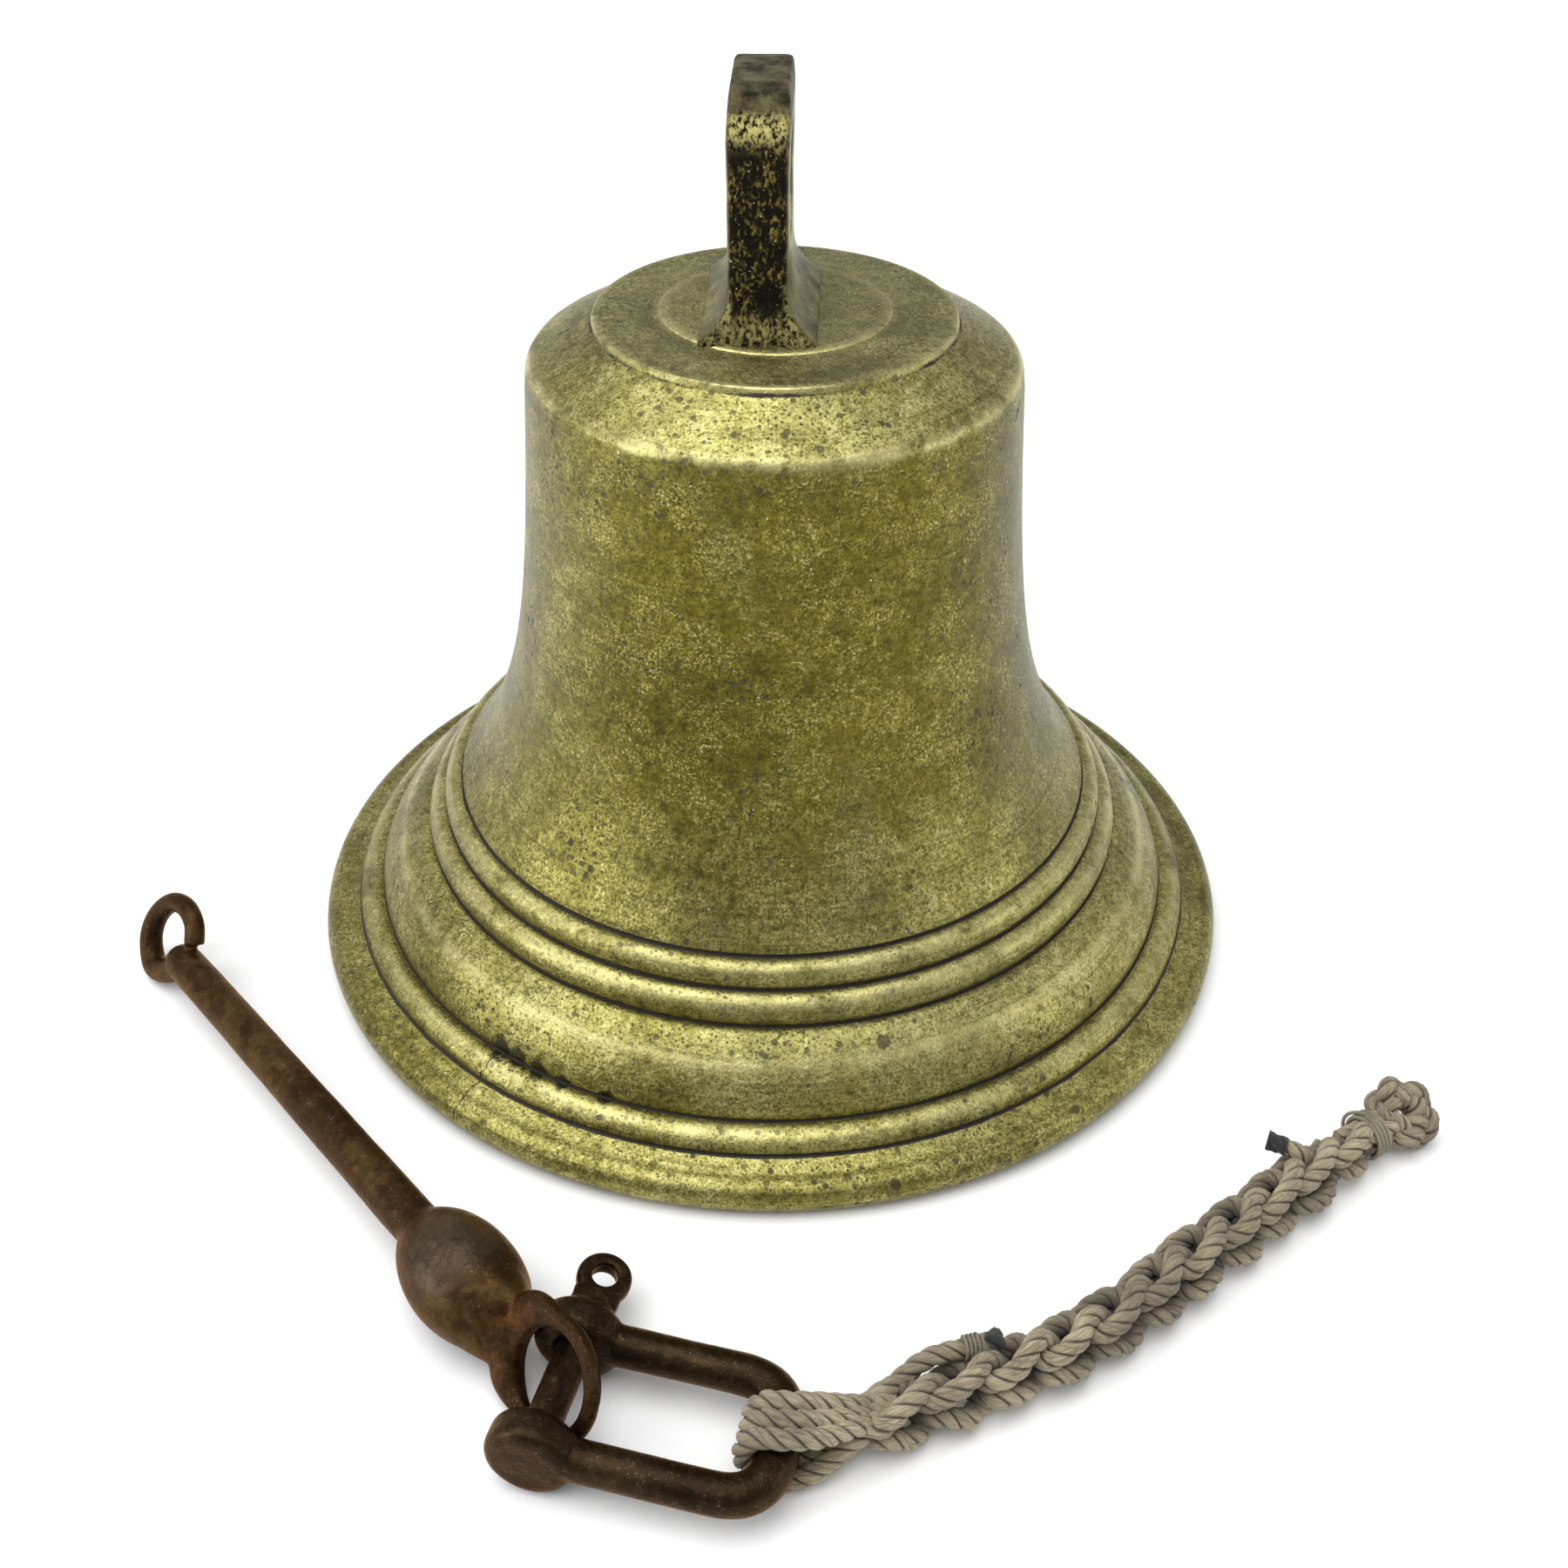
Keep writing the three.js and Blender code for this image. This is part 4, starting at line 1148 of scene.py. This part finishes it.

# %% [markdown]
# ## Iron
# The clapper and the shackle are wrought iron, rusted brown and pitted. Handling has worn the ball's belly
# grey, with a painted highlight where it faces up, and orange rust sits in the fold where the neck meets
# the eye. The shackle is blacker.


# %% Iron finishes
def iron_finish(name, dark, brown, warm, ochre_share, least_rough):
    iron = Finish(name)
    cloud = iron.noise(38, 5, 0.62, warp=0.3)
    mottle = iron.noise(230, 5, 0.68)
    grain = iron.noise(1500, 3, 0.7)
    drawn = iron.noise(170, 4, 0.6, where=iron.stretched((1, 0.45, 1)))
    tone = iron.plus(iron.times(cloud, 0.5), iron.times(mottle, 0.5))
    colour = iron.colours(tone, (0.34, dark), (0.5, brown), (0.66, warm))
    ochre = iron.band(iron.plus(cloud, iron.times(drawn, 0.3)), 0.66, 0.8)
    colour = iron.over(iron.times(ochre, ochre_share), colour, (0.085, 0.058, 0.018))
    fresh = iron.band(iron.times(iron.painted("fresh"), iron.plus(mottle, 0.5)), 0.45, 0.95)
    fresh = iron.times(fresh, iron.band(iron.noise(120, 6, 0.7), 0.42, 0.6))
    colour = iron.over(iron.times(fresh, 0.75), colour, (0.088, 0.033, 0.008))
    # Grey where handled, and greyer as a painted highlight where the ball faces up.
    rubbed = iron.band(iron.times(iron.painted("rubbed"), iron.plus(cloud, 0.45)), 0.35, 0.8)
    colour = iron.over(iron.times(rubbed, 0.55), colour, (0.075, 0.06, 0.045))
    glint = iron.band(iron.plus(grain, iron.times(mottle, 0.4)), 0.81, 0.9)
    colour = iron.over(iron.times(glint, 0.5), colour, (0.16, 0.125, 0.085))
    deep = iron.band(mottle, 0.42, 0.3)
    colour = iron.over(iron.times(deep, 0.7), colour, (0.012, 0.009, 0.007))
    rough = iron.minus(iron.plus(least_rough, iron.times(mottle, 0.32)),
                      iron.times(rubbed, 0.1))
    normal = iron.bumps((iron.plus(cloud, drawn), 0.0011, 0.6), (mottle, 0.0005, 0.6),
                        (grain, 0.00012, 0.55))
    return iron.done(Base_Color=colour, Metallic=0.6, Roughness=rough, Normal=normal,
                     Specular_IOR_Level=0.3, Specular_Tint=(1.0, 0.66, 0.38, 1.0))


iron_clapper = iron_finish("iron_clapper", (0.009, 0.004, 0.0014), (0.027, 0.0125, 0.0042),
                           (0.060, 0.029, 0.009), ochre_share=0.45, least_rough=0.26)
iron_shackle = iron_finish("iron_shackle", (0.0055, 0.0034, 0.0018), (0.0145, 0.009, 0.0046),
                           (0.034, 0.020, 0.0095), ochre_share=0.12, least_rough=0.17)

# %% [markdown]
# ## The clapper
# One forging: a round shank that thickens slightly, an egg-shaped ball, a neck that flattens into a round
# eye, and a hook bent up from the shank's other end. Lofted rings give the ball and neck, and a bar along
# a bend gives the hook.


# %% The clapper
def eye_plate():
    """Flat ring whose rim spreads into the neck, so the two run together in straight flanks."""
    work = bmesh.new()
    centre, inner, outer = 41.2, 12.55, 17.0
    sections = []
    for angle in angles(72):
        turned_back = math.degrees(abs((angle + math.pi) % math.tau - math.pi))
        back = smooth_step(turned_back, 100, 150)
        rim, half = outer + 6 * back, 2.2 + 1.6 * back
        middle, width = (inner + rim) / 2, (rim - inner) / 2
        sections.append([work.verts.new((centre + (middle + width * math.cos(a)) * math.cos(angle),
                                         half * math.copysign(abs(math.sin(a)) ** 0.8, math.sin(a)),
                                         (middle + width * math.cos(a)) * math.sin(angle)))
                         for a in angles(18)])
    for a, b in zip(sections, sections[1:] + sections[:1]):
        for j in range(18):
            work.faces.new((a[j], a[(j + 1) % 18], b[(j + 1) % 18], b[j]))
    bmesh.ops.recalc_face_normals(work, faces=work.faces)
    return work


def clapper_parts():
    shank_end, ball_radius, ball_half = -166.0, 14.9, 23.5

    def body_radius(x):
        bar = 6.6 + (x + 34) / (shank_end + 37) * (6.0 - 6.6) if x < -34 else 6.6
        inside = 1 - (x / ball_half) ** 2
        ball = ball_radius * math.sqrt(inside) if inside > 0 else 0.0
        return (bar ** 5 + ball ** 5) ** 0.2

    rings = []
    stations = [shank_end - 3, shank_end - 2.2] + [shank_end + 1.5 * i for i in range(88)]
    stations += [-33 + i * 1.0 for i in range(48)]
    for x in stations:
        radius = body_radius(x)
        if x < shank_end + 2:
            radius *= 0.55 if x < shank_end - 2.5 else 0.8 if x < shank_end else 0.95
        rings.append([(x, radius * math.cos(a), radius * math.sin(a)) for a in angles(32)])
    neck_marks = ((2, 13.4, 13.4), (9, 13.2, 12.4), (15, 12.5, 10.6), (19, 11.7, 8.0), (22, 11.2, 5.6),
                  (24.5, 11.2, 4.2), (26.5, 9.0, 3.4))
    neck = [[(x, thick * math.cos(a), tall * math.sin(a)) for a in angles(32)]
            for x, tall, thick in neck_marks]
    end, reach, sag, rise = shank_end, 21.0, 9.6, 15.4
    hook_marks = [(end + 6, -2.0), (end + 1, -2.5), (end - reach * 0.35, -sag * 0.85),
                  (end - reach * 0.66, -sag), (end - reach * 0.94, -sag * 0.45), (end - reach, 1.5),
                  (end - reach * 0.9, rise * 0.5), (end - reach * 0.65, rise * 0.86),
                  (end - reach * 0.3, rise), (end + 0.5, rise * 0.86), (end + 4, 7.6)]
    hook_line = flowing([(x, 0, z) for x, z in hook_marks], steps=8)
    taper = [4.3 - 1.0 * min(1, i / (0.6 * len(hook_line))) for i in range(len(hook_line))]
    return [loft(rings), loft(neck), rod_along(hook_line, taper, 16), eye_plate()]


clapper = welded_lump("clapper_iron", clapper_parts(), voxel=0.8, smoothing=5, finish=iron_clapper,
                      place=clapper_place, roughen=0.16)
clapper_inverse = clapper_place.inverted()


def ball_rub_and_light(point, normal):
    local = clapper_inverse @ point / MM
    on_ball = hump(local.x, -2, 15)
    at_rim = hump(local.x, 54, 4) * 0.7
    # Painted highlight: more where the surface faces up.
    return max(on_ball, at_rim) * max(0.0, 0.35 + 0.65 * normal.z)


def neck_rust(point, normal):
    local = clapper_inverse @ point / MM
    return hump(local.x, 24, 8)


paint(clapper, rubbed=ball_rub_and_light, fresh=neck_rust)
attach(clapper, "clapper")
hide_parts("clapper")

# %% [markdown]
# ## The shackle and its pin
# The bow is a bar bent into a D, with a round flattened ear on each leg. The pin goes through one ear and
# the clapper's eye and screws into the other ear, which is closed on the outside. Its head is a flat eye.


# %% Shackle bow and pin
half_span, shackle_bar, fit_gap = 17.1, 5.3, 0.3
pin_turn = Matrix.Rotation(math.radians(13), 3, "Y")


def shackle_parts():
    half, length, skew, corner, bar = half_span, 57.0, 2.0, 14.0, shackle_bar
    near, far = Vector((length + skew, -half, 0)), Vector((length, half, 0))
    across = (far - near).normalized() * corner
    back = Vector((-corner, 0, 0))

    def bend(a, b, c):
        return [a.lerp(b, t).lerp(b.lerp(c, t), t) for t in (i / 12 for i in range(13))]

    line = [Vector((9, -half, 0)), Vector((20, -half, 0)), Vector((32, -half, 0))]
    line += bend(near + back, near, near + across) + bend(far - across, far, far + back)
    line += [Vector((32, half, 0)), Vector((20, half, 0)), Vector((9, half, 0))]
    ears = [ring_about((0, y, 0), (0, 1, 0), rounded_box(5.1, 11.6, bar, 3.4)) for y in (-half, half)]
    blind_section = [(0.01, -1.4), (8, -1.4), (8, 0.9), (0.01, 0.9)]
    blind = ring_about((0, -half - bar + 1.4, 0), (0, 1, 0), blind_section, 24)
    return [rod_along(line, bar, 28), *ears, blind]


def pin_parts():
    blind_wall = 2
    face, tip = half_span + shackle_bar + fit_gap, blind_wall + fit_gap - half_span - shackle_bar
    shaft = rod_along([(0, tip + 0.5 * i, 0) for i in range(int((face + 1 - tip) * 2))], 4.8, 28)
    collar = rod_along([(0, face, 0), (0, face + 0.6, 0), (0, face + 2.0, 0), (0, face + 2.6, 0)],
                       [6.9, 7.4, 7.4, 6.9], 32)
    head_y = half_span + shackle_bar + 13.6
    half_plate = 2.5
    head_section = rounded_box(3.5, 7.4, half_plate, 1.6)
    head = ring_about((0, head_y, 0), pin_turn @ Vector((0, 0, 1)), head_section, 48)
    corners = ((-1, -0.8), (-0.9, -1), (0.9, -1), (1, -0.8), (1, 0.8), (0.9, 1), (-0.9, 1), (-1, 0.8))
    widths = ((face + 1.5, 7.0), (face + 3.0, 6.4), (face + 5, 6.1), (face + 7, 6.3), (head_y - 5.4, 6.4))
    stem = [[pin_turn @ Vector((x * wide, y, z * half_plate)) for x, z in corners] for y, wide in widths]
    return [shaft, collar, head, loft(stem)]


bow = welded_lump("shackle_bow_iron", shackle_parts(), voxel=0.62, smoothing=4, finish=iron_shackle,
                  place=shackle_place, roughen=0.14)
pin = welded_lump("shackle_pin_iron", pin_parts(), voxel=0.45, smoothing=4, finish=iron_shackle,
                  place=shackle_place, roughen=0.08)
for piece, body, node in ((bow, "shackle", "shackle_bow"), (pin, "pin", "shackle_pin")):
    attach(piece, body)
    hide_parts(node)

# %% [markdown]
# ## The staple inside
# A bar bent into a U holds the clapper's hook when the bell hangs. It is only seen from below, so the
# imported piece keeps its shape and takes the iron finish.

# %% Staple finish
staple = frame["nodes"]["clapper_staple"]
staple.data.materials.clear()
staple.data.materials.append(iron_shackle)

# %% [markdown]
# ## Floor and light
# A pale floor and a pale surround give the brass something plain to reflect. A broad, soft sun lights the
# floor evenly, so no edge or falloff shows. A low lamp on the left brightens that side of the waist, and a
# weaker one on the right keeps the iron from going black.

# %% Floor, surround and lights
floor_finish = Finish("floor_pale")
floor_tone = floor_finish.colours(floor_finish.noise(3, 2), (0.4, (0.93, 0.93, 0.93)),
                                  (0.6, (0.95, 0.95, 0.95)))
floor_material = floor_finish.done(Base_Color=floor_tone, Roughness=0.8, Specular_IOR_Level=0.2)
floor_mesh = bpy.data.meshes.new("floor")
floor_half, floor_height = 60.0, -0.0004
corners = [(x * floor_half, y * floor_half, floor_height) for x, y in ((-1, -1), (1, -1), (1, 1), (-1, 1))]
floor_mesh.from_pydata(corners, [], [(0, 1, 2, 3)])
floor_mesh.materials.append(floor_material)
floor = put("floor", floor_mesh)

world = bpy.data.worlds.new("surround")
world.use_nodes = True
sky = world.node_tree.nodes["Background"].inputs
sky["Color"].default_value = (0.97, 0.98, 1.0, 1)
sky["Strength"].default_value = 0.55
bpy.context.scene.world = world


def lamp(name, kind, power):
    light = bpy.data.lights.new(name, kind)
    light.energy = power
    holder = bpy.data.objects.new(name, light)
    bpy.context.scene.collection.objects.link(holder)
    return light, holder


def soft_light(name, position, size, power, aim):
    light, holder = lamp(name, "AREA", power)
    light.shape = "RECTANGLE"
    light.size, light.size_y = size
    holder.location = position
    holder.rotation_euler = (Vector(aim) - Vector(position)).to_track_quat("-Z", "Y").to_euler()


overhead, overhead_holder = lamp("overhead", "SUN", 2.3)
overhead.angle = math.radians(60)
overhead_holder.rotation_euler = (math.radians(4), math.radians(-12), 0)
soft_light("side_left", (-1.3, -0.5, 0.5), size=(0.6, 0.8), power=8, aim=(0, 0, 0.1))
soft_light("side_right", (1.4, -0.3, 0.5), size=(0.5, 0.7), power=3, aim=(0, 0, 0.1))
bpy.context.scene.view_settings.view_transform = "Standard"
